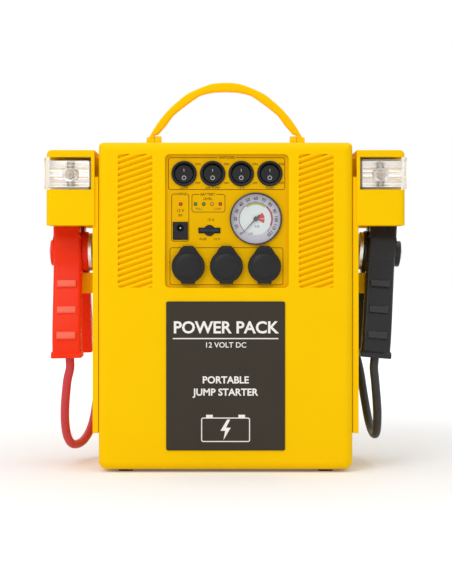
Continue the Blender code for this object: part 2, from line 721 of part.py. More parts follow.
def lamp(side, word):
    """Corner lamp: a clear wrap-round lens, a chromed trough and a bulb."""
    x0, x1 = POD_X0 + POD_WALL + GAP, POD_X1 + LENS_SIDE_PROUD
    y0, y1 = POD_Y0 - LENS_PROUD, BULKHEAD_Y - GAP
    z0, z1 = LENS_Z0, LENS_Z0 + LENS_H
    bm = bmesh.new()
    box(bm, (side * x0, y0, z0), (side * x1, y1, z1))
    round_edges(bm, lambda mid, way: abs(way.z) > 0.9 and abs(mid.x) > x1 - 1e-4 and mid.y < y0 + 1e-4,
                0.004, 4)
    lens = finish(f"{word}_lamp_lens", bm, material("lens_clear", (0.9, 0.92, 0.95, 1), 0.05))
    bm = bmesh.new()
    box(bm, (side * (x0 + LENS_T), y0 + LENS_T, z0 + LENS_T),
        (side * (x1 - LENS_T), y1 + 0.01, z1 - LENS_T))
    shape(lens, "DIFFERENCE", f"{word}_lens_cutter", bm)
    in0, in1, zi0, zi1 = x0 + LENS_T + GAP, x1 - LENS_T - GAP, z0 + LENS_T + GAP, z1 - LENS_T - GAP
    bm = bmesh.new()
    face = y1 - 0.012
    middle_x, middle_z = side * (x0 + x1) / 2, (z0 + z1) / 2
    box(bm, (side * in0, face, zi0), (side * in1, y1, zi1))
    reflector = finish(f"{word}_lamp_reflector", bm, material("chrome", METAL, 0.1, 1.0))
    bm = bmesh.new()
    half_z, deep = (zi1 - zi0) / 2 - 0.001, 0.009
    radius = (half_z ** 2 + deep ** 2) / (2 * deep)
    spread = math.degrees(math.asin(half_z / radius))
    outline = arc((face - radius + deep, middle_z), radius, -spread, spread, 10)
    outline += [(face - 0.002, middle_z + half_z), (face - 0.002, middle_z - half_z)]
    prism(bm, outline, "X", side * (in0 + 0.001), side * (in1 - 0.001))
    shape(reflector, "DIFFERENCE", f"{word}_trough_cutter", bm)
    bm = bmesh.new()
    disc(bm, 0.0035, "Y", face + deep - 0.004, y1 + 0.01, (middle_x, 0, middle_z), ROUND_SMALL)
    shape(reflector, "DIFFERENCE", f"{word}_bulb_hole_cutter", bm)
    profile = [(0, y1 - GAP), (0.0032, y1 - GAP), (0.0032, face + 0.004)]
    for i in range(7):
        angle = math.radians(-40 + 20 * i)
        profile.append((0.0045 * math.cos(angle), face - 0.001 - 0.0045 * math.sin(angle)))
    profile.append((0, face - 0.0055))
    bm = bmesh.new()
    turned(bm, profile, "Y", (middle_x, 0, middle_z), ROUND_SMALL)
    finish(f"{word}_lamp_bulb", bm, material("bulb_glass", (0.95, 0.9, 0.8, 1), 0.05))


# ---- carry handle -------------------------------------------------------------------------------
def carry_handle():
    """Finger-grip arch that folds back about the pins in the case's ears."""
    up = HANDLE_PIVOT_Z
    outer = [(0, 0.3592), (0.0120, 0.3583), (0.0210, 0.3555), (0.0300, 0.3517), (0.0375, 0.3478),
             (0.0445, 0.3422), (0.0520, 0.3355), (0.0585, 0.3285), (0.0640, 0.3213), (0.0690, 0.3135),
             (HANDLE_FOOT_OUT, up)]
    inner = [(HANDLE_FOOT_IN, up), (HANDLE_FOOT_IN, up + EAR_W / 2 + 0.001), (0.0636, 0.3105),
             (0.0564, 0.3186), (0.0504, 0.3270), (0.0488, 0.3288), (0.0413, 0.3349), (0.0337, 0.3406),
             (0.0256, 0.3462), (0.0236, 0.3472), (0.0185, 0.3487), (0.0110, 0.3502), (0, 0.3506)]
    half = [(x, z - up) for x, z in outer + inner]
    outline = half + [(-x, z) for x, z in reversed(half[1:-1])]
    bm = bmesh.new()
    prism(bm, outline, "Y", -HANDLE_T / 2, HANDLE_T / 2)
    at = (0, HANDLE_Y, up)
    handle = finish("carry_handle", bm, material("handle_yellow", YELLOW, 0.42), at)
    bm = bmesh.new()
    for side in (-1, 1):
        disc(bm, HANDLE_T / 2, "X", side * HANDLE_FOOT_IN, side * HANDLE_FOOT_OUT, steps=ROUND_SMALL)
    shape(handle, "UNION", "handle_boss_solid", bm, at)
    bm = bmesh.new()
    for side in (-1, 1):
        disc(bm, HANDLE_PIN_R + RUN, "X", side * (HANDLE_FOOT_IN - 0.01), side * (HANDLE_FOOT_OUT + 0.01),
             steps=ROUND_SMALL)
    shape(handle, "DIFFERENCE", "handle_hole_cutter", bm, at)


# ---- battery clamps --------------------------------------------------------------------------------
def grip_outline(way):
    """Side view of a clamp handle, as (y, z) about the pivot; way is -1 for the front one."""
    ridge = 0.0025
    outer = [(0.0240, 0.0080), (0.0245, -0.0120)]
    for z in (-0.029, -0.052, -0.075):
        y = 0.022 - z * 0.32
        outer += [(y, z + 0.004), (y + ridge, z), (y + ridge * 0.6, z - 0.005)]
    end = HANDLE_END
    outer += [(0.0470, end + 0.0085), (0.0495, end + 0.0055), (0.0495, end), (0.0300, end)]
    inner = [(0.0305, end + 0.011), (0.0290, -0.072), (0.0245, -0.050), (0.0190, -0.033),
             (0.0130, -0.021), (0.0085, -0.0145), (0.0050, -0.0040)]
    return [(way * y, z) for y, z in outer + inner]


def jaw_outline(way):
    """Side view of a clamp's plastic jaw about the pivot."""
    inside = JAW_PLATE_T + 2 * GAP
    points = [(0.0240, 0.000), (0.0238, 0.011), (0.0195, 0.021), (0.0175, 0.040), (0.0130, 0.056),
              (0.0080, JAW_TIP - 0.002), (inside, JAW_TIP), (inside, 0.0200), (0.0100, 0.011),
              (0.0100, 0.000)]
    return [(way * y, z) for y, z in points]


def clamp_lever(name, mat, way, at, tilt):
    """A clamp half; the front one has the outer cheeks, the rear one turns between them."""
    bm = bmesh.new()
    prism(bm, grip_outline(way), "X", -CLAMP_W / 2, CLAMP_W / 2)
    round_edges(bm, lambda mid, along: abs(along.x) < 0.1 and way * mid.y > 0.02 and mid.z < -0.02, 0.002, 2)
    lever = finish(name, bm, mat, at, tilt)
    bm = bmesh.new()
    prism(bm, jaw_outline(way), "X", -CLAMP_W / 2 + 0.002, CLAMP_W / 2 - 0.002)
    shape(lever, "UNION", f"{name}_jaw_solid", bm, at, tilt)
    half_mid = LEVER_HUB_W / 2
    bm = bmesh.new()
    if way < 0:
        disc(bm, HUB_R, "X", -HUB_W / 2, HUB_W / 2)
    else:
        disc(bm, LEVER_HUB_R, "X", -half_mid - 0.001, half_mid + 0.001)
    shape(lever, "UNION", f"{name}_hub_solid", bm, at, tilt)
    bm = bmesh.new()
    if way < 0:
        disc(bm, HUB_R + 2 * RUN, "X", -half_mid - GAP, half_mid + GAP)
    else:
        for side in (-1, 1):
            disc(bm, HUB_R + 2 * RUN, "X", side * half_mid, side * HUB_W)
        disc(bm, LEVER_HUB_R * 0.62, "X", -SPRING_GAP_W / 2, SPRING_GAP_W / 2)
    shape(lever, "DIFFERENCE", f"{name}_hub_cutter", bm, at, tilt)
    bm = bmesh.new()
    disc(bm, PIVOT_R + RUN, "X", -HUB_W, HUB_W, steps=ROUND_SMALL)
    shape(lever, "DIFFERENCE", f"{name}_pin_cutter", bm, at, tilt)


def jaw_plate(name, way, at, tilt):
    """Copper contact with a row of teeth on its biting side."""
    z0, z1, teeth, tooth = 0.0215, JAW_TIP - 0.0005, 8, 0.0011
    back, tip = JAW_PLATE_T + GAP, GAP
    pitch = (z1 - z0) / teeth
    points = [(back, z0), (back, z1)]
    for i in range(teeth):
        top = z1 - i * pitch
        points += [(tip + tooth, top), (tip, top - pitch / 2)]
    points.append((tip + tooth, z0))
    bm = bmesh.new()
    prism(bm, [(way * y, z) for y, z in points], "X", -0.0085, 0.0085)
    finish(name, bm, material("copper", COPPER, 0.3, 1.0), at, tilt)


def clamp_spring(name, at, tilt):
    """Torsion spring round the pivot, between the cheeks."""
    turns, width = SPRING_TURNS, SPRING_GAP_W - 0.0012 - 2 * SPRING_WIRE_R
    points = [Vector((-width / 2, -0.0058, -0.0068))]
    start, end = math.radians(200), math.radians(200 + 360 * turns + 140)
    count = 11 * turns
    for i in range(count + 1):
        angle = start + (end - start) * i / count
        x = -width / 2 + width * i / count
        points.append(Vector((x, SPRING_R * math.cos(angle), SPRING_R * math.sin(angle))))
    points.append(Vector((width / 2, 0.0058, -0.0068)))
    tube(name, points, SPRING_WIRE_R, material("spring_steel", METAL, 0.3, 1.0), at, tilt, sides=1)


def pivot_pin(name, at, tilt):
    """Rivet through both clamp halves."""
    half = HUB_W / 2 + GAP
    end = half + PIVOT_HEAD_T
    profile = [(0, -end), (PIVOT_HEAD_R, -end), (PIVOT_HEAD_R, -half), (PIVOT_R, -half),
               (PIVOT_R, half), (PIVOT_HEAD_R, half), (PIVOT_HEAD_R, end), (0, end)]
    bm = bmesh.new()
    turned(bm, profile, "X", steps=ROUND_SMALL)
    finish(name, bm, material("steel", METAL, 0.25, 1.0), at, tilt)


def clamp(side, word, mat):
    """One battery clamp, parked on its post with the jaws up in the pod."""
    at, tilt = (side * CLAMP_X, CLAMP_Y, CLAMP_Z), CLAMP_TILT[side]
    clamp_lever(f"{word}_front_lever", mat, -1, at, tilt)
    clamp_lever(f"{word}_rear_lever", mat, 1, at, tilt)
    jaw_plate(f"{word}_front_jaw", -1, at, tilt)
    jaw_plate(f"{word}_rear_jaw", 1, at, tilt)
    clamp_spring(f"{word}_spring", at, tilt)
    pivot_pin(f"{word}_pivot_pin", at, tilt)


def cable(side, word, mat, drop):
    """Cable from the front handle's end, down, back and up to the gland on the case side."""
    tilt = CLAMP_TILT[side]
    pivot, turn = Vector((side * CLAMP_X, CLAMP_Y, CLAMP_Z)), Matrix.Rotation(tilt, 3, "Y")
    route = [pivot + turn @ Vector((0, -0.0395, HANDLE_END - drop_z)) for drop_z in (GAP, 0.010)]
    for across, along, height in drop:
        route.append((side * (SIDE_X + across), along, height))
    route += [(side * (SIDE_X + GLAND_OUT), GLAND_Y, GLAND_Z - drop_z) for drop_z in (0.010, GAP)]
    tube(f"{word}_cable", smooth_route(route, CABLE_R * 2), CABLE_R, mat)


def gland(side, word, mat):
    """Strain relief on the case side that lets its cable out downwards."""
    bm = bmesh.new()
    outer = side * (SIDE_X + GLAND_OUT + GLAND_W / 2)
    box(bm, (side * (SIDE_X + GAP), GLAND_Y - GLAND_W / 2, GLAND_Z),
        (outer, GLAND_Y + GLAND_W / 2, GLAND_Z + GLAND_H))
    round_edges(bm, lambda mid, way: abs(mid.x) > abs(outer) - 1e-4, 0.003)
    finish(f"{word}_gland", bm, mat)


# ---- inside the case ---------------------------------------------------------------------------------
def battery():
    """Sealed lead-acid battery on the case floor, with its two terminals."""
    length, depth, height = BATTERY_SIZE
    y1 = CASE_D / 2 - FRONT_R
    z0 = CASE_Z0 + WALL + GAP
    bm = bmesh.new()
    box(bm, (-length / 2, y1 - depth, z0), (length / 2, y1, z0 + height))
    block = finish("battery", bm, material("battery_grey", (0.12, 0.12, 0.13, 1), 0.5))
    bm = bmesh.new()
    for side in (-1, 1):
        x = side * (length / 2 - 0.015)
        box(bm, (x - 0.006, y1 - 0.020, z0 + height - 0.002), (x + 0.006, y1 - 0.010, z0 + height + 0.006))
    shape(block, "UNION", "terminal_solid", bm)


def compressor():
    """Tyre compressor: motor, neck and cylinder head on one line, on its shelf."""
    z = SHELF_Z + GAP + MOTOR_R
    y = CASE_D / 2 - WALL - GAP - 0.003 - MOTOR_R
    start = -MOTOR_LEN / 2
    neck, head = start + MOTOR_LEN * 0.7, start + MOTOR_LEN
    profile = [(0, start), (MOTOR_R, start), (MOTOR_R, neck), (0.010, neck), (0.010, head), (0.018, head),
               (0.018, head + HEAD_LEN), (0, head + HEAD_LEN)]
    bm = bmesh.new()
    turned(bm, profile, "X", (0, y, z))
    finish("compressor", bm, material("motor_metal", (0.4, 0.4, 0.42, 1), 0.4, 1.0))


def circuit_board():
    """Control board on the panel's posts."""
    half = WINDOW_W / 2 + PANEL_LIP - 0.001
    y = PANEL_BACK_Y + BOARD_BACK
    bm = bmesh.new()
    box(bm, (WINDOW_X - half, y, WINDOW_Z - 0.029), (WINDOW_X + half, y + BOARD_T, WINDOW_Z + 0.033))
    finish("circuit_board", bm, material("board_green", (0.02, 0.16, 0.06, 1), 0.4))


def main():
    """Build every piece of the pack."""
    clear_scene()
    front_shell()
    rear_shell()
    feet()
    label_plate()
    control_panel()
    for i, (x, z) in enumerate(switch_places(), 1):
        switch_bezel(i, x, z)
        switch_rocker(i, x, z)
    for i, (x, z) in enumerate(outlet_places(), 1):
        outlet_socket(i, x, z)
        outlet_cap(i, x, z)
    gauge()
    dc_jack()
    fuse()
    indicators()
    carry_handle()
    battery()
    compressor()
    circuit_board()
    drops = {-1: [(0.0303, -0.0375, 0.080), (0.0332, -0.030, 0.052), (0.0330, -0.016, 0.030),
                  (0.0290, 0.001, 0.0185), (0.0215, 0.024, 0.019), (0.0150, 0.044, 0.032),
                  (0.0110, 0.0530, 0.058), (0.0080, 0.0560, 0.095)],
             1: [(0.0225, -0.036, 0.078), (0.0250, -0.029, 0.052), (0.0255, -0.015, 0.032),
                 (0.0245, 0.006, 0.0285), (0.0225, 0.028, 0.038), (0.0200, 0.044, 0.058),
                 (0.0165, 0.0545, 0.085), (0.0100, 0.0580, 0.113)]}
    for side, word, hand, colour in ((-1, "left", "red", RED), (1, "right", "black", BLACK)):
        side_panel(side, word)
        lamp(side, word)
        plastic = material(f"{hand}_plastic", colour, 0.35)
        clamp(side, hand, plastic)
        cable(side, hand, material(f"{hand}_cable", colour, 0.5), drops[side])
        gland(side, hand, material("gland_black", BLACK, 0.6))


main()
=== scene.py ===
"""Portable jump starter pack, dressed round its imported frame.

Metres, +Z up, +X to the right of someone who faces the controls, -Y towards them.
Every finished piece sits at the origin with its place in its mesh, as the frame's own nodes do.
"""
import json
import logging
import math
from dataclasses import dataclass
from enum import Enum
from typing import Callable, Iterable, Optional, Sequence

import bmesh
import bpy
from mathutils import Matrix, Vector
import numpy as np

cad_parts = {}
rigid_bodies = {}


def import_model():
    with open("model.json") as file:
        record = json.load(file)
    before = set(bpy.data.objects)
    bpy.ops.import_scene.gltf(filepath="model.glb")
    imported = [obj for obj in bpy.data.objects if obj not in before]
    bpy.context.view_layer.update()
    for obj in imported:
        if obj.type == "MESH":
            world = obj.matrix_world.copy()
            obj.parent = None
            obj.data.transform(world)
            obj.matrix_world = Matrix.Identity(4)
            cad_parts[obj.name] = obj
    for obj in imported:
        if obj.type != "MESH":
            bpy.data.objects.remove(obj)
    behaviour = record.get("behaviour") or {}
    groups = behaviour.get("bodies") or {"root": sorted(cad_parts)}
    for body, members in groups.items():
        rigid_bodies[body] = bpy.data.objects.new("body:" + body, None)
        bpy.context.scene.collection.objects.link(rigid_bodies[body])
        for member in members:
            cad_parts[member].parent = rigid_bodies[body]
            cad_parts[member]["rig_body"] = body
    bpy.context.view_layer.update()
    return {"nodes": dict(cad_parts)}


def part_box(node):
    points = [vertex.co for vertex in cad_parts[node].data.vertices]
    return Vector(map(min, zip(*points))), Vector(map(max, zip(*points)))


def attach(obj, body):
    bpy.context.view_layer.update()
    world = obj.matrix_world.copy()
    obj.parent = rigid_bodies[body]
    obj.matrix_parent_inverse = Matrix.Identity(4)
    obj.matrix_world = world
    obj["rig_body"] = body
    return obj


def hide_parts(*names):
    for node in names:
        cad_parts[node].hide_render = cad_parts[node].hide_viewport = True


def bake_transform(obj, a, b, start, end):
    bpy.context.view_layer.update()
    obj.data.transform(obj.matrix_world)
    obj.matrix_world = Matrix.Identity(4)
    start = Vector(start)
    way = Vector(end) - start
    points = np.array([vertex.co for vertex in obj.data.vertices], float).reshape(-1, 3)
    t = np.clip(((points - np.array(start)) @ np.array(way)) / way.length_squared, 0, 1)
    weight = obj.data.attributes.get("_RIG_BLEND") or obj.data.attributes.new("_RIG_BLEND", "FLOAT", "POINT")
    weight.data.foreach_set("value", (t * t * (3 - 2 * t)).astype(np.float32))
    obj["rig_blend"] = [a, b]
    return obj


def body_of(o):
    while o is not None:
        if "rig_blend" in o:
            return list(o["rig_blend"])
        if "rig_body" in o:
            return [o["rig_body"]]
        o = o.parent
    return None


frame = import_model()

logging.basicConfig(level=logging.INFO, format="%(message)s")
log = logging.getLogger("pack")

BMesh = bmesh.types.BMesh
Object = bpy.types.Object
Point2 = tuple[float, float]
Point3 = tuple[float, float, float]

# ---- sizes shared with the frame ----
GAP = 0.0003
SIDES = ((-1, "left", "red"), (1, "right", "black"))
FRONT_Y = -0.060
SIDE_X = 0.1148
CASE_TOP = 0.298
CASE_Z0 = 0.0023
PANEL_Y = FRONT_Y + 0.0033
PIVOT_Z = 0.199
CLAMP_X = 0.1443
CLAMP_TILT = {-1: math.radians(-1.1), 1: math.radians(4.7)}
HANDLE_Y = 0.007
HANDLE_PIVOT_Z = CASE_TOP + 0.0053
HANDLE_FOOT = (0.067, 0.0745)
HANDLE_PIN_R = 0.0025
INK_T = 0.00005


class Axis(Enum):
    """Direction that a turned or drawn-out shape follows."""

    X = 0
    Y = 1
    Z = 2


# ---- finishes ----
def fill(node: bpy.types.Node, values: dict[str, object]) -> None:
    """Set a node's inputs.

    Args:
        node: The node.
        values: Value for each input's name.
    """
    for name, value in values.items():
        node.inputs[name].default_value = value


CLOUD_SCALE = 18.0
SMEAR_SCALE = 95.0
GRAIN_HEIGHT = 0.0004
COAT_ROUGHNESS = 0.12
PRINT_GRAIN = 2200.0
DIAL_GRAIN = 1800.0


@dataclass(frozen=True)
class Finish:
    """A moulded, rubber, metal, clear or printed surface, with grain, mottle and smears."""

    name: str
    colour: Point3
    roughness: float
    slot: str
    metallic: float = 0.0
    grain: float = 1400.0
    depth: float = 0.06
    mottle: float = 0.03
    smear: float = 0.06
    stretch: Point3 = (1.0, 1.0, 1.0)
    specular: float = 0.5
    transmission: float = 0.0
    ior: float = 1.46
    coat: float = 0.0
    glow: float = 0.0
    alpha: float = 1.0

    def build(self) -> bpy.types.Material:
        """Make the node material once.

        Returns:
            The material with this finish's name.
        """
        title = f"{self.name}_finish"
        made = bpy.data.materials.get(title)
        if made:
            return made
        made = bpy.data.materials.new(title)
        made.use_nodes = True
        tree = made.node_tree
        nodes, links = tree.nodes, tree.links
        shader = nodes["Principled BSDF"]
        fill(shader, {"Metallic": self.metallic, "Specular IOR Level": self.specular,
                      "Transmission Weight": self.transmission, "IOR": self.ior, "Coat Weight": self.coat,
                      "Coat Roughness": COAT_ROUGHNESS, "Alpha": self.alpha})
        if self.glow:
            fill(shader, {"Emission Color": (*self.colour, 1), "Emission Strength": self.glow})
        place = nodes.new("ShaderNodeTexCoord")
        mapping = nodes.new("ShaderNodeMapping")
        fill(mapping, {"Scale": self.stretch})
        links.new(place.outputs["Object"], mapping.inputs["Vector"])

        def noise(scale: float, detail: float) -> bpy.types.Node:
            """Add a noise on the piece's own coordinates.

            Args:
                scale: Its scale.
                detail: Its detail.

            Returns:
                The node.
            """
            node = nodes.new("ShaderNodeTexNoise")
            fill(node, {"Scale": scale, "Detail": detail})
            links.new(mapping.outputs["Vector"], node.inputs["Vector"])
            return node

        def spread(source: bpy.types.Node, low: float, high: float) -> bpy.types.Node:
            """Stretch a noise's middle part over a range.

            Args:
                source: The noise.
                low: Lower end of the range.
                high: Upper end.

            Returns:
                The node.
            """
            node = nodes.new("ShaderNodeMapRange")
            fill(node, {"From Min": 0.3, "From Max": 0.7, "To Min": low, "To Max": high})
            links.new(source.outputs["Fac"], node.inputs["Value"])
            return node

        cloud, fine = noise(CLOUD_SCALE, 3.0), noise(self.grain, 2.0)
        tone = spread(cloud, 1 - self.mottle, 1 + self.mottle)
        mix = nodes.new("ShaderNodeMix")
        mix.data_type, mix.blend_type = "RGBA", "MULTIPLY"
        fill(mix, {"Factor": 1.0, "A": (*self.colour, 1)})
        links.new(tone.outputs["Result"], mix.inputs["B"])
        links.new(mix.outputs["Result"], shader.inputs["Base Color"])
        rough = spread(noise(SMEAR_SCALE, 4.0), max(0.0, self.roughness - self.smear),
                       min(1.0, self.roughness + self.smear))
        links.new(rough.outputs["Result"], shader.inputs["Roughness"])
        bump = nodes.new("ShaderNodeBump")
        fill(bump, {"Strength": self.depth, "Distance": GRAIN_HEIGHT})
        links.new(fine.outputs["Fac"], bump.inputs["Height"])
        links.new(bump.outputs["Normal"], shader.inputs["Normal"])
        made.diffuse_color = (*self.colour, 1)
        return made


def ink(name: str, colour: Point3, slot: str, grain: float = PRINT_GRAIN, roughness: float = 0.5) -> Finish:
    """Describe a flat print.

    Args:
        name: Name of the finish.
        colour: Its colour.
        slot: The slot that it belongs to.
        grain: Scale of its grain.
        roughness: Its roughness.

    Returns:
        The finish.
    """
    return Finish(name, colour, roughness, slot, grain=grain, depth=0.03)


YELLOW = Finish("yellow_abs", (1.0, 0.60, 0.0), 0.36, "yellow_abs", specular=0.05, mottle=0.012)
PANEL_YELLOW = Finish("panel_yellow", (0.84, 0.46, 0.0), 0.5, "yellow_abs", specular=0.05, mottle=0.015)
RED = Finish("red_moulding", (0.93, 0.038, 0.008), 0.26, "red_plastic", specular=0.13, mottle=0.02)
BLACK = Finish("black_moulding", (0.020, 0.019, 0.020), 0.30, "black_plastic", specular=0.3, mottle=0.08)
# Lighter than RED: a painted highlight on the red clamp's finger pads.
RED_PAD_HIGHLIGHT = Finish("red_pads_painted_highlight", (0.94, 0.135, 0.075), 0.24, "red_plastic", specular=0.3, mottle=0.02)
# Lighter than BLACK: a painted highlight on the black clamp's finger pads.
BLACK_PAD_HIGHLIGHT = Finish("black_pads_painted_highlight", (0.027, 0.027, 0.030), 0.26, "black_plastic", specular=0.4, mottle=0.06)
SWITCH_BLACK = Finish("switch_black", (0.017, 0.016, 0.018), 0.36, "black_plastic", specular=0.22,
                      mottle=0.06)
RUBBER = Finish("black_rubber", (0.0105, 0.0105, 0.011), 0.46, "black_rubber", grain=900.0, depth=0.1,
                specular=0.3, mottle=0.1)
RED_JACKET = Finish("red_jacket", (0.60, 0.035, 0.045), 0.45, "red_cable", grain=600.0, depth=0.1, mottle=0.06)
BLACK_JACKET = Finish("black_jacket", (0.022, 0.022, 0.022), 0.45, "black_cable", grain=600.0, depth=0.1,
                      mottle=0.08)
STEEL = Finish("zinc_steel", (0.72, 0.72, 0.74), 0.28, "steel", metallic=1.0, grain=700.0, depth=0.08,
               mottle=0.06, smear=0.1)
HUB_STEEL = Finish("brushed_hub", (0.88, 0.87, 0.86), 0.42, "steel", metallic=1.0, grain=260.0, depth=0.12,
                   mottle=0.05, smear=0.1, stretch=(1.0, 6.0, 6.0))
COPPER = Finish("copper_plate", (0.72, 0.34, 0.19), 0.3, "copper", metallic=1.0, grain=500.0, depth=0.1,
                mottle=0.12, smear=0.12)
CHROME = Finish("chrome", (0.93, 0.91, 0.88), 0.20, "chrome", metallic=1.0, grain=300.0, depth=0.02,
                mottle=0.02, smear=0.03)
CLEAR = Finish("clear_plastic", (0.97, 0.97, 0.96), 0.02, "clear_plastic", grain=200.0, depth=0.01,
               mottle=0.005, smear=0.015, transmission=1.0, ior=1.15, alpha=0.4)
THIN_CLEAR = Finish("thin_clear", (0.96, 0.97, 0.97), 0.04, "clear_plastic", grain=200.0, depth=0.01,
                    mottle=0.005, smear=0.02, alpha=0.04)
BULB_GLASS = Finish("bulb_glass", (0.95, 0.90, 0.82), 0.04, "bulb_glass", grain=200.0, depth=0.01,
                    mottle=0.02, smear=0.02, alpha=0.3)
FILAMENT = Finish("filament", (0.30, 0.22, 0.16), 0.4, "steel", metallic=1.0, grain=900.0)
LABEL = Finish("label_film", (0.044, 0.036, 0.026), 0.34, "label_dark", grain=PRINT_GRAIN, depth=0.04,
               mottle=0.05, specular=0.15)
LABEL_PALE = Finish("label_print_pale", (0.90, 0.88, 0.84), 0.4, "label_dark", grain=PRINT_GRAIN, depth=0.04)
INK = Finish("panel_ink", (0.050, 0.017, 0.003), 0.5, "yellow_abs", grain=PRINT_GRAIN, depth=0.03, mottle=0.08,
             specular=0.1)
GREEN_INK = ink("green_ink", (0.06, 0.12, 0.01), "yellow_abs")
RED_INK = ink("red_ink", (0.40, 0.015, 0.01), "yellow_abs")
WHITE_INK = ink("white_ink", (0.42, 0.42, 0.43), "black_plastic", roughness=0.45)
DIAL_RIM = ink("dial_band", (0.66, 0.63, 0.72), "dial_white", DIAL_GRAIN)
DIAL_FACE = ink("dial_face", (0.80, 0.86, 0.84), "dial_white", DIAL_GRAIN)
DIAL_DARK = ink("dial_dark", (0.018, 0.018, 0.032), "needle_dark", DIAL_GRAIN)
DIAL_GREEN = ink("dial_green", (0.42, 0.50, 0.10), "dial_white", DIAL_GRAIN)
DIAL_RED = ink("dial_red", (0.42, 0.03, 0.09), "dial_white", DIAL_GRAIN)
FAN_RED = ink("fan_red", (0.62, 0.02, 0.010), "dial_white", DIAL_GRAIN)
NEEDLE = Finish("needle_paint", (0.03, 0.03, 0.035), 0.4, "needle_dark")
GAUGE_RIM = Finish("gauge_rim", (0.055, 0.042, 0.030), 0.35, "gauge_rim")
FUSE_BLUE = Finish("fuse_blue", (0.006, 0.020, 0.045), 0.25, "fuse_blue", specular=0.4, mottle=0.05)
LED_RED = Finish("led_red", (0.45, 0.02, 0.008), 0.16, "led_red", coat=0.5, glow=0.08)
LED_GREEN = Finish("led_green", (0.05, 0.17, 0.03), 0.16, "led_green", coat=0.5, glow=0.05)
LED_AMBER = Finish("led_amber", (0.62, 0.30, 0.01), 0.16, "led_amber", coat=0.5, glow=0.05)
BATTERY = Finish("battery_case", (0.13, 0.13, 0.14), 0.5, "battery_grey", mottle=0.08)
MOTOR = Finish("motor_can", (0.42, 0.42, 0.44), 0.35, "motor_metal", metallic=1.0, grain=400.0,
               stretch=(8.0, 1.0, 1.0))
BOARD = Finish("board_green", (0.02, 0.16, 0.06), 0.35, "board_green", coat=0.4, mottle=0.1)


# ---- mesh helpers ----
def body_for(node: str) -> str:
    """Return the body that a frame node rides on."""
    return body_of(frame["nodes"][node])[0]


def arc(centre: Point2, radius: float, start: float, end: float, steps: int) -> list[Point2]:
    """Points on an arc.

    Args:
        centre: Middle of the arc.
        radius: Its radius.
        start: First angle in degrees, counter-clockwise from the first axis.
        end: Last angle.
        steps: Number of steps between them.

    Returns:
        The points in order.
    """
    angles = [math.radians(start + (end - start) * i / steps) for i in range(steps + 1)]
    return [(centre[0] + radius * math.cos(a), centre[1] + radius * math.sin(a)) for a in angles]


def rounded(x0: float, x1: float, z0: float, z1: float, top: float, base: Optional[float] = None,
            steps: int = 8) -> list[Point2]:
    """A rectangle's outline with rounded corners.

    Args:
        x0: Left edge.
        x1: Right edge.
        z0: Lower edge.
        z1: Upper edge.
        top: Radius of the two upper corners.
        base: Radius of the two lower corners, the same as the upper ones if not given.
        steps: Steps for each corner.

    Returns:
        The points, counter-clockwise.
    """
    low = top if base is None else base
    points = arc((x1 - top, z1 - top), top, 0, 90, steps)
    points += arc((x0 + top, z1 - top), top, 90, 180, steps)
    points += arc((x0 + low, z0 + low), low, 180, 270, steps)
    points += arc((x1 - low, z0 + low), low, 270, 360, steps)
    return points


def smooth_line(points: Sequence[Sequence[float]], spacing: float) -> list[Vector]:
    """Evenly spread points of a Catmull-Rom curve through the given ones.

    Args:
        points: Points that the curve passes through.
        spacing: Wanted distance between the points returned.

    Returns:
        The new points, with the first and the last one kept.
    """
    given = [Vector(p) for p in points]
    ends = [given[0] * 2 - given[1]] + given + [given[-1] * 2 - given[-2]]
    fine: list[Vector] = []
    for i in range(1, len(ends) - 2):
        p0, p1, p2, p3 = ends[i - 1:i + 3]
        for k in range(24):
            t = k / 24
            fine.append(0.5 * ((2 * p1) + (p2 - p0) * t + (2 * p0 - 5 * p1 + 4 * p2 - p3) * t * t
                               + (3 * p1 - p0 - 3 * p2 + p3) * t ** 3))
    fine.append(given[-1])
    length = sum((b - a).length for a, b in zip(fine, fine[1:]))
    count = max(2, round(length / spacing))
    route, walked, target = [fine[0]], 0.0, length / count
    for a, b in zip(fine, fine[1:]):
        walked += (b - a).length
        if walked >= target - 1e-9 and len(route) < count:
            route.append(b)
            target += length / count
    route.append(fine[-1])
    return route


def resample(line: Sequence[Point2], count: int) -> list[Point2]:
    """Read points at even steps along a line.

    Args:
        line: The line.
        count: Number of steps.

    Returns:
        The points, one more than the steps.
    """
    reach = [0.0]
    for a, b in zip(line, line[1:]):
        reach.append(reach[-1] + math.dist(a, b))
    points, k = [], 0
    for i in range(count + 1):
        want = reach[-1] * i / count
        while k < len(line) - 2 and reach[k + 1] < want:
            k += 1
        share = (want - reach[k]) / max(reach[k + 1] - reach[k], 1e-9)
        a, b = line[k], line[k + 1]
        points.append((a[0] + (b[0] - a[0]) * share, a[1] + (b[1] - a[1]) * share))
    return points


def block(bm: BMesh, low: Sequence[float], high: Sequence[float]) -> None:
    """Add a block.

    Args:
        bm: Mesh to add to.
        low: One corner.
        high: The opposite corner, on either side.
    """
    low, high = zip(*[sorted(pair) for pair in zip(low, high)])
    size = [b - a for a, b in zip(low, high)]
    middle = [(a + b) / 2 for a, b in zip(low, high)]
    bmesh.ops.create_cube(bm, size=1, matrix=Matrix.Translation(middle) @ Matrix.Diagonal((*size, 1)))


def round_edges(bm: BMesh, chosen: Callable[[Vector, Vector], bool], radius: float,
                segments: int = 6) -> None:
    """Round some edges.

    Args:
        bm: Mesh to work on.
        chosen: Says which, from an edge's middle and direction.
        radius: Size of the rounding.
        segments: Steps across it.
    """
    edges = [e for e in bm.edges if chosen((e.verts[0].co + e.verts[1].co) / 2,
                                           (e.verts[1].co - e.verts[0].co).normalized())]
    bmesh.ops.bevel(bm, geom=edges, offset=radius, segments=segments, profile=0.5, affect="EDGES",
                    clamp_overlap=True)


def spot(axis: Axis, a: float, b: float, along: float) -> Point3:
    """Place two outline coordinates and a position along the axis."""
    return {Axis.X: (along, a, b), Axis.Y: (a, along, b), Axis.Z: (a, b, along)}[axis]


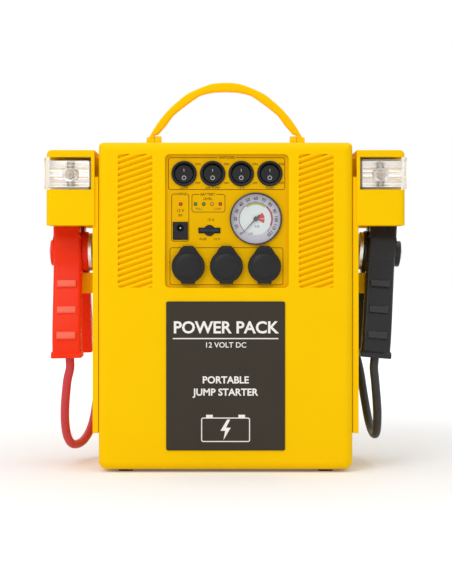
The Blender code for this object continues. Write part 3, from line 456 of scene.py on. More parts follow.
def loft(bm: BMesh, rows: Sequence[tuple[Sequence[Point2], float]], axis: Axis,
         closed: bool = False) -> None:
    """Join outlines of the same number of points, each at its own place along the axis.

    Args:
        bm: Mesh to add to.
        rows: Outlines with their places along the axis.
        axis: The axis.
        closed: True to join the last outline to the first; otherwise both ends are capped.
    """
    made = [[bm.verts.new(spot(axis, a, b, along)) for a, b in row] for row, along in rows]
    pairs = list(zip(made, made[1:])) + ([(made[-1], made[0])] if closed else [])
    for low, high in pairs:
        for i in range(len(low)):
            j = (i + 1) % len(low)
            bm.faces.new((low[i], high[i], high[j], low[j]))
    if not closed:
        bm.faces.new(made[0])
        bm.faces.new(made[-1][::-1])


def prism(bm: BMesh, outline: Sequence[Point2], axis: Axis, start: float, end: float,
          ease: float = 0.0) -> None:
    """Draw an outline out along an axis.

    Args:
        bm: Mesh to add to.
        outline: The outline.
        axis: The axis.
        start: Where it starts.
        end: Where it ends.
        ease: Chamfer at both ends.
    """
    if not ease:
        loft(bm, [(outline, start), (outline, end)], axis)
        return
    way = math.copysign(ease, end - start)
    small = inset(outline, ease)
    loft(bm, [(small, start), (outline, start + way), (outline, end - way), (small, end)], axis)


def inset(outline: Sequence[Point2], amount: float) -> list[Point2]:
    """Move each point of an outline inwards.

    Args:
        outline: The outline.
        amount: How far.

    Returns:
        The moved points.
    """
    area = sum(a[0] * b[1] - b[0] * a[1] for a, b in zip(outline, list(outline[1:]) + [outline[0]]))
    sign = 1 if area > 0 else -1
    moved = []
    for i, point in enumerate(outline):
        before, after = outline[i - 1], outline[(i + 1) % len(outline)]
        way = Vector(after) - Vector(before)
        if way.length < 1e-9:
            moved.append(point)
            continue
        way.normalize()
        moved.append((point[0] - sign * way.y * amount, point[1] + sign * way.x * amount))
    return moved


def turned(bm: BMesh, profile: Sequence[Point2], axis: Axis, centre: Point3 = (0, 0, 0),
           steps: int = 64, ring: bool = False) -> None:
    """Turn a profile about an axis.

    Args:
        bm: Mesh to add to.
        profile: Points of (radius, place along the axis).
        axis: The axis.
        centre: A point that the axis passes through.
        steps: Sides of the round.
        ring: True to join the last profile point to the first.
    """
    rows = []
    for radius, along in profile:
        row = []
        for i in range(steps if radius > 0 else 1):
            angle = 2 * math.pi * i / steps
            place = spot(axis, radius * math.cos(angle), radius * math.sin(angle), along)
            row.append(bm.verts.new(Vector(centre) + Vector(place)))
        rows.append(row)
    for low, high in list(zip(rows, rows[1:])) + ([(rows[-1], rows[0])] if ring else []):
        for i in range(steps):
            j = (i + 1) % steps
            a, b, c, d = low[i % len(low)], low[j % len(low)], high[j % len(high)], high[i % len(high)]
            corners = list(dict.fromkeys([a, b, c, d]))
            if len(corners) > 2:
                bm.faces.new(corners)


def strip(bm: BMesh, outer: Sequence[Point2], inner: Sequence[Point2], y0: float, y1: float,
          closed: bool = True) -> None:
    """Add a thin printed band between two outlines.

    Args:
        bm: Mesh to add to.
        outer: One outline.
        inner: The other, with as many points.
        y0: Its front.
        y1: Its back.
        closed: False if the band has two ends.
    """
    rows = [[bm.verts.new((x, y, z)) for x, z in line] for line, y in
            ((outer, y0), (inner, y0), (inner, y1), (outer, y1))]
    count = len(outer)
    for a, b in zip(rows, rows[1:] + rows[:1]):
        for i in range(count if closed else count - 1):
            j = (i + 1) % count
            bm.faces.new((a[i], a[j], b[j], b[i]))
    if not closed:
        bm.faces.new([row[0] for row in rows])
        bm.faces.new([row[-1] for row in rows][::-1])


def tube(bm: BMesh, points: Sequence[Vector], radii: Sequence[float], sides: int = 16) -> None:
    """Add a round tube, closed at both ends.

    Args:
        bm: Mesh to add to.
        points: Its middle line.
        radii: Its radius at each point.
        sides: Sides of the round.
    """
    rows, normal = [], None
    for i, point in enumerate(points):
        ahead = points[min(i + 1, len(points) - 1)] - points[max(i - 1, 0)]
        ahead.normalize()
        if normal is None:
            normal = ahead.orthogonal().normalized()
        normal = (normal - ahead * normal.dot(ahead)).normalized()
        other = ahead.cross(normal)
        rows.append([bm.verts.new(point + radii[i] * (normal * math.cos(a) + other * math.sin(a)))
                     for a in (2 * math.pi * k / sides for k in range(sides))])
    for low, high in zip(rows, rows[1:]):
        for k in range(sides):
            j = (k + 1) % sides
            bm.faces.new((low[k], low[j], high[j], high[k]))
    bm.faces.new(rows[0][::-1])
    bm.faces.new(rows[-1])


def link(name: str, data: bpy.types.ID) -> Object:
    """Make a scene object.

    Args:
        name: Name of the object.
        data: Its mesh, curve, camera or light.

    Returns:
        The object.
    """
    obj = bpy.data.objects.new(name, data)
    bpy.context.scene.collection.objects.link(obj)
    return obj


def raw(name: str, bm: BMesh, place: Matrix = Matrix.Identity(4)) -> Object:
    """Make an object of a mesh, with doubles merged and faces outward.

    Args:
        name: Name of the object.
        bm: The mesh, which is freed.
        place: Where it goes.

    Returns:
        The object.
    """
    bmesh.ops.remove_doubles(bm, verts=bm.verts[:], dist=1e-6)
    bmesh.ops.recalc_face_normals(bm, faces=bm.faces[:])
    bmesh.ops.transform(bm, matrix=place, verts=bm.verts[:])
    mesh = bpy.data.meshes.new(name)
    bm.to_mesh(mesh)
    bm.free()
    return link(name, mesh)


def evaluated(obj: Object) -> bpy.types.Mesh:
    """Return a plain mesh of an object as its modifiers leave it."""
    bpy.context.view_layer.update()
    return bpy.data.meshes.new_from_object(obj.evaluated_get(bpy.context.evaluated_depsgraph_get()))


def applied(obj: Object) -> Object:
    """Replace an object's mesh with its evaluated one and remove its modifiers.

    Args:
        obj: The object.

    Returns:
        The same object.
    """
    mesh = evaluated(obj)
    obj.modifiers.clear()
    obj.data = mesh
    return obj


def gathered(parts: Iterable[Object]) -> BMesh:
    """Gather objects' meshes into one and remove the objects.

    Args:
        parts: The objects.

    Returns:
        The gathered mesh.
    """
    bm = bmesh.new()
    for part in parts:
        bm.from_mesh(part.data)
        bpy.data.objects.remove(part, do_unlink=True)
    return bm


def stamp(bm: BMesh, part: BMesh, place: Matrix) -> None:
    """Put one mesh into another at a place, and free it.

    Args:
        bm: Mesh to add to.
        part: Mesh that is added.
        place: Where it goes.
    """
    bmesh.ops.transform(part, matrix=place, verts=part.verts[:])
    mesh = bpy.data.meshes.new("stamp")
    part.to_mesh(mesh)
    part.free()
    bm.from_mesh(mesh)
    bpy.data.meshes.remove(mesh)


def cut(target: Object, tool: Object, operation: str = "DIFFERENCE") -> Object:
    """Apply an exact Boolean.

    Args:
        target: Object that is changed.
        tool: The other one, which is removed.
        operation: Kind of Boolean.

    Returns:
        The target.
    """
    modifier = target.modifiers.new("cut", "BOOLEAN")
    modifier.operation, modifier.solver, modifier.object = operation, "EXACT", tool
    applied(target)
    bpy.data.objects.remove(tool, do_unlink=True)
    return target


def soften(obj: Object, width: float, segments: int = 2, angle: float = 32) -> Object:
    """Round an object's sharp edges.

    Args:
        obj: The object.
        width: Size of the rounding.
        segments: Steps across it.
        angle: Least angle of an edge, in degrees.

    Returns:
        The same object.
    """
    bevel = obj.modifiers.new("soften", "BEVEL")
    bevel.width, bevel.segments, bevel.limit_method = width, segments, "ANGLE"
    bevel.angle_limit = math.radians(angle)
    bevel.use_clamp_overlap = True
    bevel.miter_outer = "MITER_ARC"
    return applied(obj)


def dress(obj: Object, finish: Finish, node: str, stands: bool = True, angle: float = 30) -> None:
    """Give a piece its finish, smooth shading and body.

    Args:
        obj: The piece.
        finish: Its finish.
        node: Frame node whose body it rides on.
        stands: True if it stands for that node.
        angle: Edges sharper than this, in degrees, stay sharp.
    """
    obj.data.materials.clear()
    obj.data.materials.append(finish.build())
    obj.data.shade_smooth()
    obj.data.set_sharp_from_angle(angle=math.radians(angle))
    weighted = obj.modifiers.new("even_normals", "WEIGHTED_NORMAL")
    weighted.keep_sharp = True
    body = body_for(node)
    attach(obj, body)
    if stands:
        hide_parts(node)
    log.info("piece %s on %s", obj.name, body)


def copy_of(node: str, name: str) -> Object:
    """Copy a frame node's mesh, with its triangles merged and flat faces joined up.

    Args:
        node: The node.
        name: Name of the copy.

    Returns:
        The copy.
    """
    bm = bmesh.new()
    bm.from_mesh(frame["nodes"][node].data)
    bmesh.ops.remove_doubles(bm, verts=bm.verts[:], dist=2e-6)
    bmesh.ops.dissolve_limit(bm, angle_limit=math.radians(0.6), verts=bm.verts[:], edges=bm.edges[:])
    mesh = bpy.data.meshes.new(name)
    bm.to_mesh(mesh)
    bm.free()
    return link(name, mesh)


def lettering(bm: BMesh, text: str, size: float, at: Point2, y: float, turn: float = 0.0,
              bold: float = 0.0) -> None:
    """Add raised lettering, centred at a place on an upright face.

    Args:
        bm: Mesh to add to.
        text: What it says.
        size: Height of the letters' body.
        at: Middle of the text, as (x, z).
        y: The face it is printed on.
        turn: Counter-clockwise turn in degrees.
        bold: How far the strokes are thickened on each side.
    """
    curve = bpy.data.curves.new("lettering", "FONT")
    curve.body, curve.size, curve.extrude, curve.offset = text, size, INK_T, bold
    curve.align_x, curve.align_y, curve.resolution_u = "CENTER", "CENTER", 3
    obj = link("lettering", curve)
    mesh = evaluated(obj)
    upright = Matrix.Translation((at[0], y, at[1])) @ Matrix.Rotation(math.pi / 2, 4, "X")
    mesh.transform(upright @ Matrix.Rotation(math.radians(turn), 4, "Z"))
    bm.from_mesh(mesh)
    bpy.data.objects.remove(obj, do_unlink=True)
    bpy.data.meshes.remove(mesh)


def turned_piece(name: str, profile: Sequence[Point2], centre: Point3, steps: int, finish: Finish, node: str,
                 stands: bool = True) -> None:
    """Turn a piece about an axis along Y and dress it.

    Args:
        name: Name of the piece.
        profile: Points of (radius, place along the axis).
        centre: A point that the axis passes through.
        steps: Sides of the round.
        finish: Its finish.
        node: Frame node whose body it rides on.
        stands: True if it stands for that node.
    """
    bm = bmesh.new()
    turned(bm, profile, Axis.Y, centre, steps)
    dress(raw(name, bm), finish, node, stands)


# ---- geometry nodes ----
GEOMETRY, REAL, WHOLE, PLACE = (f"NodeSocket{kind}" for kind in ("Geometry", "Float", "Int", "Vector"))


def start_tree(name: str, inputs: dict[str, str]) -> tuple[bpy.types.GeometryNodeTree, dict[str, str]]:
    """Start a geometry tree that gives out one result.

    Args:
        name: Name of the tree.
        inputs: Kind of socket for each named input.

    Returns:
        The tree, and each named input's socket identifier.
    """
    tree = bpy.data.node_groups.new(name, "GeometryNodeTree")
    keys = {word: tree.interface.new_socket(word, in_out="INPUT", socket_type=kind).identifier
            for word, kind in inputs.items()}
    tree.interface.new_socket("Result", in_out="OUTPUT", socket_type=GEOMETRY)
    return tree, keys


def end_tree(tree: bpy.types.GeometryNodeTree, shape: bpy.types.NodeSocket, finish: Finish) -> None:
    """End a tree in real geometry with a finish.

    Args:
        tree: The tree.
        shape: Socket that gives the shape.
        finish: Finish of the result.
    """
    nodes, links = tree.nodes, tree.links
    real, paint = nodes.new("GeometryNodeRealizeInstances"), nodes.new("GeometryNodeSetMaterial")
    fill(paint, {"Material": finish.build()})
    links.new(shape, real.inputs["Geometry"])
    links.new(real.outputs["Geometry"], paint.inputs["Geometry"])
    links.new(paint.outputs["Geometry"], nodes.new("NodeGroupOutput").inputs["Result"])


def run_tree(obj: Object, tree: bpy.types.GeometryNodeTree,
             values: dict[str, object]) -> Object:
    """Run a tree on an object and keep the result as a plain mesh.

    Args:
        obj: The object.
        tree: The tree.
        values: Value for each input's socket identifier.

    Returns:
        The same object.
    """
    modifier = obj.modifiers.new("tree", "NODES")
    modifier.node_group = tree
    for key, value in values.items():
        modifier[key] = value
    return applied(obj)


@dataclass(frozen=True)
class Row:
    """Repeats a shape in a row, turned a little more about Y at each place."""

    count: int
    start: Point3 = (0.0, 0.0, 0.0)
    step: Point3 = (0.0, 0.0, 0.0)
    first_turn: float = 0.0
    turn: float = 0.0

    def apply(self, obj: Object, finish: Finish) -> Object:
        """Repeat an object's mesh along the row and keep the result as a plain mesh.

        Args:
            obj: Object with the shape.
            finish: Finish of the row.

        Returns:
            The same object.
        """
        tree, keys = start_tree("row", {"Shape": GEOMETRY, "Count": WHOLE, "Start": PLACE, "Step": PLACE,
                                        "First turn": REAL, "Turn": REAL})
        nodes, links = tree.nodes, tree.links
        given, line = nodes.new("NodeGroupInput"), nodes.new("GeometryNodeMeshLine")
        line.mode = "OFFSET"
        index, angle = nodes.new("GeometryNodeInputIndex"), nodes.new("ShaderNodeMath")
        angle.operation = "MULTIPLY_ADD"
        turns, spread = nodes.new("ShaderNodeCombineXYZ"), nodes.new("GeometryNodeInstanceOnPoints")
        for source, socket in ((given.outputs["Count"], line.inputs["Count"]),
                               (given.outputs["Start"], line.inputs["Start Location"]),
                               (given.outputs["Step"], line.inputs["Offset"]),
                               (index.outputs["Index"], angle.inputs[0]),
                               (given.outputs["Turn"], angle.inputs[1]),
                               (given.outputs["First turn"], angle.inputs[2]),
                               (angle.outputs["Value"], turns.inputs["Y"]),
                               (line.outputs["Mesh"], spread.inputs["Points"]),
                               (given.outputs["Shape"], spread.inputs["Instance"]),
                               (turns.outputs["Vector"], spread.inputs["Rotation"])):
            links.new(source, socket)
        end_tree(tree, spread.outputs["Instances"], finish)
        return run_tree(obj, tree, {keys["Count"]: self.count, keys["Start"]: self.start,
                                    keys["Step"]: self.step, keys["First turn"]: self.first_turn,
                                    keys["Turn"]: self.turn})


@dataclass(frozen=True)
class Coil:
    """A wire coil along Z."""

    turns: float
    radius: float
    length: float
    wire: float
    turn_steps: int = 28
    wire_steps: int = 10

    def apply(self, name: str, finish: Finish, place: Matrix) -> Object:
        """Make the coil as a plain mesh.

        Args:
            name: Name of the object.
            finish: Finish of the wire.
            place: Where it goes.

        Returns:
            The coil.
        """
        tree, keys = start_tree("coil", {word: REAL for word in ("Turns", "Radius", "Length", "Wire")})
        nodes, links = tree.nodes, tree.links
        given, sweep = nodes.new("NodeGroupInput"), nodes.new("GeometryNodeCurveToMesh")
        spiral, ring = nodes.new("GeometryNodeCurveSpiral"), nodes.new("GeometryNodeCurvePrimitiveCircle")
        fill(spiral, {"Resolution": self.turn_steps})
        fill(ring, {"Resolution": self.wire_steps})
        fill(sweep, {"Fill Caps": True})
        for word, socket in (("Turns", "Rotations"), ("Radius", "Start Radius"), ("Radius", "End Radius"),
                             ("Length", "Height")):
            links.new(given.outputs[word], spiral.inputs[socket])
        links.new(given.outputs["Wire"], ring.inputs["Radius"])
        links.new(spiral.outputs["Curve"], sweep.inputs["Curve"])
        links.new(ring.outputs["Curve"], sweep.inputs["Profile Curve"])
        end_tree(tree, sweep.outputs["Mesh"], finish)
        obj = run_tree(link(name, bpy.data.meshes.new(name)), tree,
                       {keys["Turns"]: self.turns, keys["Radius"]: self.radius,
                        keys["Length"]: self.length, keys["Wire"]: self.wire})
        return raw(name, gathered([obj]), place)


# ---- studio ----
@dataclass
class Studio:
    """Camera, floor, backdrop light and lamps."""

    eye: Point3 = (0.0, -1.36, 0.19)
    lens: float = 89.04
    shift: Point2 = (0.0007, -0.0516)
    sky: float = 0.66
    power: float = 6.0
    aim: Point3 = (0.0, 0.0, 0.16)
    floor_r: float = 9.0
    floor_tone: float = 0.93

    def camera(self) -> None:
        """Set up the camera."""
        data = bpy.data.cameras.new("camera")
        data.lens, data.sensor_width = self.lens, 36.0
        data.shift_x, data.shift_y = self.shift
        data.clip_start, data.clip_end = 0.05, 50.0
        camera = link("camera", data)
        camera.location, camera.rotation_euler = self.eye, (math.pi / 2, 0, 0)
        bpy.context.scene.camera = camera

    def white_seen(self, tree: bpy.types.NodeTree) -> bpy.types.NodeSocket:
        """Tell rays that see the room from rays that light it.

        Args:
            tree: Node tree to add to.

        Returns:
            A socket that is 1 for camera, glossy and transmission rays.
        """
        nodes, links = tree.nodes, tree.links
        path = nodes.new("ShaderNodeLightPath")
        first, second = nodes.new("ShaderNodeMath"), nodes.new("ShaderNodeMath")
        first.operation = second.operation = "MAXIMUM"
        links.new(path.outputs["Is Camera Ray"], first.inputs[0])
        links.new(path.outputs["Is Glossy Ray"], first.inputs[1])
        links.new(first.outputs["Value"], second.inputs[0])
        links.new(path.outputs["Is Transmission Ray"], second.inputs[1])
        return second.outputs["Value"]

    def backdrop(self) -> None:
        """Light the room softly and show it white."""
        world = bpy.data.worlds.new("room")
        bpy.context.scene.world = world
        world.use_nodes = True
        tree = world.node_tree
        shader = tree.nodes["Background"]
        fill(shader, {"Color": (1, 1, 1, 1)})
        level = tree.nodes.new("ShaderNodeMapRange")
        fill(level, {"To Min": self.sky, "To Max": 1.0})
        tree.links.new(self.white_seen(tree), level.inputs["Value"])
        tree.links.new(level.outputs["Result"], shader.inputs["Strength"])

    def floor(self) -> None:
        """Lay a pale floor that shows white and keeps the shadow, its glow weaker near the object as painted
        shade round it.
        """
        bm = bmesh.new()
        turned(bm, [(0, 0), (self.floor_r, 0)], Axis.Z, steps=96)
        floor = raw("floor", bm)
        material = bpy.data.materials.new("floor")
        material.use_nodes = True
        tree = material.node_tree
        nodes, links = tree.nodes, tree.links
        shader = nodes["Principled BSDF"]
        fill(shader, {"Base Color": (*[self.floor_tone] * 3, 1), "Roughness": 0.9, "Specular IOR Level": 0.1,
                      "Emission Color": (1, 1, 1, 1)})
        place, away = nodes.new("ShaderNodeTexCoord"), nodes.new("ShaderNodeVectorMath")
        away.operation = "LENGTH"
        links.new(place.outputs["Object"], away.inputs[0])
        # The floor glows less near the object: painted shade round it, on top of the real shadow.
        glow_fade_painted_shade = nodes.new("ShaderNodeMapRange")
        glow_fade_painted_shade.interpolation_type = "SMOOTHSTEP"
        fill(glow_fade_painted_shade, {"From Min": 0.16, "From Max": 1.0, "To Min": 0.10, "To Max": 0.5})
        links.new(away.outputs["Value"], glow_fade_painted_shade.inputs["Value"])
        level = nodes.new("ShaderNodeMath")
        level.operation = "MULTIPLY"
        links.new(glow_fade_painted_shade.outputs["Result"], level.inputs[1])
        links.new(self.white_seen(tree), level.inputs[0])
        links.new(level.outputs["Value"], shader.inputs["Emission Strength"])
        floor.data.materials.append(material)

    def lamp(self, name: str, at: Point3, size: float, power: float) -> None:
        """Hang a square soft lamp that faces the object.

        Args:
            name: Its name.
            at: Its place.
            size: Its width.
            power: Its power in watts.
        """
        data = bpy.data.lights.new(name, "AREA")
        data.shape, data.size, data.energy = "SQUARE", size, power
        lamp = link(name, data)
        lamp.location = at
        lamp.rotation_mode = "QUATERNION"
        lamp.rotation_quaternion = (Vector(self.aim) - Vector(at)).to_track_quat("-Z", "Y")

    def build(self) -> None:
        """Set the whole studio up."""
        self.camera()
        self.backdrop()
        self.floor()
        self.lamp("key", (-0.9, -1.5, 1.5), 1.2, self.power * 2.2)
        self.lamp("top", (0.1, -0.2, 1.7), 1.4, self.power)
        bpy.context.scene.view_settings.view_transform = "Standard"


# ---- cables ----
@dataclass
class Lead:
    """A battery lead from a clamp's handle round to the gland on the case side."""

    side: int
    hand: str
    finish: Finish
    drop: Sequence[Point3]
    radius: float = 0.004
    handle_end: float = -0.0965
    gland: Point3 = (0.0067, 0.051, 0.150)
    gland_size: Point3 = (0.011, 0.011, 0.018)
    boot_rings: int = 9
    boot_swell: float = 0.0014
    boot_rib: float = 0.0004

    def route(self) -> list[Vector]:
        """Lay the lead's middle line.

        Returns:
            Its points, from the clamp to the gland.
        """
        pivot = Vector((self.side * CLAMP_X, 0, PIVOT_Z))
        turn = Matrix.Rotation(CLAMP_TILT[self.side], 3, "Y")
        points = [pivot + turn @ Vector((0, -0.0395, self.handle_end - low)) for low in (GAP, 0.010)]
        points += [Vector((self.side * (SIDE_X + out), along, up)) for out, along, up in self.drop]
        out, along, up = self.gland
        points += [Vector((self.side * (SIDE_X + out), along, up - low)) for low in (0.010, GAP)]
        return smooth_line(points, self.radius * 0.8)

    def cable(self) -> None:
        """Make the lead itself, which gives way as its clamp is lifted off."""
        path = self.route()[::-1]
        bm = bmesh.new()
        tube(bm, path, [self.radius] * len(path), 20)
        obj = raw(f"{self.hand}_lead", bm)
        node = f"{self.hand}_cable"
        obj.data.materials.append(self.finish.build())
        obj.data.shade_smooth()
        obj.data.set_sharp_from_angle(angle=math.radians(50))
        x = self.side * (SIDE_X + 0.025)
        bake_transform(obj, "case", body_for(node), start=(x, 0.030, 0.03), end=(x, -0.036, 0.03))
        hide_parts(node)

    def boot(self) -> None:
        """Make the gland on the case side with its ribbed, tapered boot."""
        out, along, up = self.gland
        wide, deep, high = self.gland_size
        bm = bmesh.new()
        outer = self.side * (SIDE_X + out + wide / 2)
        block(bm, (self.side * (SIDE_X + GAP), along - deep / 2, up), (outer, along + deep / 2, up + high))
        round_edges(bm, lambda mid, way: abs(mid.x) > abs(outer) - 1e-4, 0.003, 6)
        housing = raw(f"{self.hand}_gland_body", bm)
        path = self.route()[::-1][:self.boot_rings]
        radii = []
        for i in range(len(path)):
            share = i / (len(path) - 1)
            radii.append(self.radius + self.boot_swell * (1 - share) + (self.boot_rib if i % 2 else 0.0))
        bm = gathered([housing])
        tube(bm, path, radii, 24)
        node = f"{self.hand}_gland"
        dress(raw(f"{node}_boot", bm), RUBBER, node)

    def build(self) -> None:
        """Make the lead and its gland."""
        self.cable()
        self.boot()


# ---- case ----
@dataclass
class Case:
    """The two shell halves, their louvres, screws and feet."""

    depth: float = 0.120
    wall: float = 0.003
    front_r: float = 0.008
    top_r: float = 0.0045
    base_r: float = 0.008
    window: tuple[float, float, float, float] = (-0.0543, 0.0567, 0.1668, 0.2868)
    window_r: float = 0.004
    lip_r: float = 0.0009
    louvre_x: Point2 = (0.0660, 0.0970)
    louvre_z: Point2 = (0.167, 0.287)
    louvre_pitch: float = 0.00535
    louvre_h: float = 0.0030
    louvre_depth: float = 0.0026
    louvre_rise: float = math.radians(19)
    screw_x: float = 0.098
    screw_low: float = 0.030
    screw_pitch: float = 0.120
    screw_rows: int = 3
    screw_r: float = 0.0036
    well: float = 0.0022
    back_frame: tuple[float, float, float] = (0.088, 0.040, 0.262)
    groove: float = 0.0012
    foot_ribs: int = 30
    steps: int = 10

    def half(self, name: str, way: int) -> Object:
        """Make one open half with rounded outer edges.

        Args:
            name: Its name.
            way: -1 for the front, 1 for the back.

        Returns:
            The half.
        """
        seam, face = way * GAP / 2, way * self.depth / 2
        bm = bmesh.new()

        def outline(edge: float) -> list[Point2]:
            """Return the case's outline, moved in by an amount."""
            return rounded(-SIDE_X + edge, SIDE_X - edge, CASE_Z0 + edge, CASE_TOP - edge,
                           max(self.top_r - edge, 0.001), max(self.base_r - edge, 0.001))

        def skin(wall: float) -> list[tuple[list[Point2], float]]:
            """Run outlines from the seam round the outer edge to the face.

            Args:
                wall: Distance inside the outer skin.

            Returns:
                The outlines with their places along Y.
            """
            radius = self.front_r - wall
            rows = [(outline(wall), seam)]
            for i in range(self.steps + 1):
                angle = math.pi / 2 * i / self.steps
                rows.append((outline(wall + radius * (1 - math.cos(angle))),
                             face - way * (wall + radius * (1 - math.sin(angle)))))
            return rows

        outer, inner = skin(0.0), skin(self.wall)
        loft(bm, inner[::-1] + outer, Axis.Y)
        return raw(name, bm)

    def window_cutter(self) -> Object:
        """Make the tool that opens the window with a rounded lip.

        Returns:
            The tool.
        """
        x0, x1, z0, z1 = self.window

        def grown(amount: float) -> list[Point2]:
            """Return the window's outline, grown by an amount."""
            return rounded(x0 - amount, x1 + amount, z0 - amount, z1 + amount, self.window_r + amount)

        rows = [(grown(self.lip_r), FRONT_Y - 0.01)]
        for i in range(5):
            angle = math.pi / 2 * i / 4
            rows.append((grown(self.lip_r * (1 - math.sin(angle))),
                         FRONT_Y - 0.00005 + self.lip_r * (1 - math.cos(angle))))
        rows.append((grown(0.0), FRONT_Y + self.wall + 0.001))
        bm = bmesh.new()
        loft(bm, rows, Axis.Y)
        return raw("window_tool", bm)

    def louvre_cutter(self, side: int) -> Object:
        """Make the tool for one column of slanted louvres.

        Args:
            side: -1 for the left, 1 for the right.

        Returns:
            The tool, clipped to an upright rectangle.
        """
        x0, x1 = sorted((side * self.louvre_x[0], side * self.louvre_x[1]))
        z0, z1 = self.louvre_z
        half, run = self.louvre_h / 2, (x1 - x0) * 0.62
        skin, out, deep = 0.0001, FRONT_Y - 0.004, self.louvre_depth
        section = [(out, half), (FRONT_Y - skin, half), (FRONT_Y + skin, half * 0.92),
                   (FRONT_Y + deep, -half * 0.72), (FRONT_Y + deep * 0.8, -half * 0.9),
                   (FRONT_Y - skin, -half), (out, -half)]
        bm = bmesh.new()
        loft(bm, [(section, -run), (section, run)], Axis.X)
        turn = Matrix.Rotation(-self.louvre_rise, 4, "Y")
        bar = raw("louvre_tool", bm, turn)
        count = math.ceil((z1 - z0) / self.louvre_pitch) + 3
        start = ((x0 + x1) / 2, 0.0, z0 - self.louvre_pitch)
        Row(count, start=start, step=(0.0, 0.0, self.louvre_pitch)).apply(bar, YELLOW)
        bm = bmesh.new()
        prism(bm, rounded(x0, x1, z0, z1, 0.0015), Axis.Y, FRONT_Y - 0.003, FRONT_Y + 0.003)
        return cut(bar, raw("louvre_clip", bm), "INTERSECT")

    def front(self) -> None:
        """Make the front half with its window and louvres."""
        shell = self.half("front_half", -1)
        cut(shell, self.window_cutter())
        for side in (-1, 1):
            cut(shell, self.louvre_cutter(side))
        dress(shell, YELLOW, "front_shell", angle=24)

    def ears(self) -> BMesh:
        """Make the two ears with their pins, for the handle.

        Returns:
            Their mesh.
        """
        bm = bmesh.new()
        y, pivot, inner = HANDLE_Y, HANDLE_PIVOT_Z, HANDLE_FOOT[0] - GAP
        for side in (-1, 1):
            outline = arc((y, pivot), 0.0055, 0, 180, 20) + [(y - 0.0055, CASE_TOP - 0.0015),
                                                             (y + 0.0055, CASE_TOP - 0.0015)]
            prism(bm, outline, Axis.X, side * (inner - 0.006), side * inner, 0.0005)
            root, end, pin = side * (inner - 0.003), side * (HANDLE_FOOT[1] - GAP), HANDLE_PIN_R
            turned(bm, [(0, root), (pin, root), (pin, end - side * 0.0004), (pin - 0.0004, end), (0, end)],
                   Axis.X, (0, y, pivot), 32)
        return bm

    def rear(self) -> None:
        """Make the rear half with its screw wells, ears and a moulded frame."""
        shell = self.half("rear_half", 1)
        bm = bmesh.new()
        back = self.depth / 2
        floor, mouth = back - self.well, self.screw_r + 0.0014
        well = [(0, floor), (self.screw_r + 0.0004, floor), (self.screw_r + 0.0008, back - 0.0004),
                (mouth, back + 0.0001), (mouth, back + 0.004), (0, back + 0.004)]
        for row in reversed(range(self.screw_rows)):
            for x in (-self.screw_x, self.screw_x):
                turned(bm, well, Axis.Y, (x, 0, self.screw_low + row * self.screw_pitch), 40)
        (x, z0, z1), line = self.back_frame, self.groove
        strip(bm, rounded(-x, x, z0, z1, 0.010), rounded(line - x, x - line, z0 + line, z1 - line, 0.009),
              back - 0.0007, back + 0.003)
        cut(shell, raw("rear_tool", bm))
        cut(shell, raw("ear_tool", self.ears()), "UNION")
        dress(shell, YELLOW, "rear_shell", angle=24)

    def screw_heads(self) -> None:
        """Make the cross-head screws in the rear wells."""
        back, r = self.depth / 2 - self.well, self.screw_r
        bm = bmesh.new()
        turned(bm, [(0, back - 0.001), (r, back - 0.001), (r, back + 0.0004), (r * 0.9, back + 0.0010),
                    (r * 0.5, back + 0.0014), (0, back + 0.0015)], Axis.Y, steps=28)
        head = raw("case_screws", bm)
        for wide, high in ((0.0040, 0.0008), (0.0008, 0.0040)):
            bm = bmesh.new()
            block(bm, (-wide / 2, back + 0.0003, -high / 2), (wide / 2, back + 0.004, high / 2))
            cut(head, raw("slot_tool", bm))
        columns = [Row(self.screw_rows, start=(x, 0.0, self.screw_low), step=(0.0, 0.0, self.screw_pitch))
                   .apply(link("column", head.data.copy()), STEEL) for x in (-self.screw_x, self.screw_x)]
        bpy.data.objects.remove(head, do_unlink=True)
        dress(raw("case_screws", gathered(columns)), STEEL, "rear_shell", stands=False)

    def feet(self) -> None:
        """Make the ribbed rubber feet."""
        for _, word, _ in SIDES:
            low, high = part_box(f"{word}_foot")
            bm = bmesh.new()
            sole = rounded(low.x, high.x, low.y, high.y, 0.003)
            loft(bm, [(sole, high.z), (sole, low.z + 0.0008)], Axis.Z)
            base = raw(f"{word}_foot_strip", bm)
            bm = bmesh.new()
            outline = rounded(low.x + 0.0008, high.x - 0.0008, -0.0011, 0.0011, 0.0008)
            loft(bm, [(outline, low.z + 0.001), (outline, low.z + 0.0002), (inset(outline, 0.0002), low.z)],
                 Axis.Z)
            rib = raw("rib", bm)
            pitch = (high.y - low.y - 0.004) / (self.foot_ribs - 1)
            Row(self.foot_ribs, start=(0.0, low.y + 0.002, 0.0), step=(0.0, pitch, 0.0)).apply(rib, RUBBER)
            node = f"{word}_foot"
            dress(raw(f"{node}_strip", gathered([base, rib])), RUBBER, node)

    def build(self) -> None:
        """Make every case piece."""
        self.front()
        self.rear()
        self.screw_heads()
        self.feet()


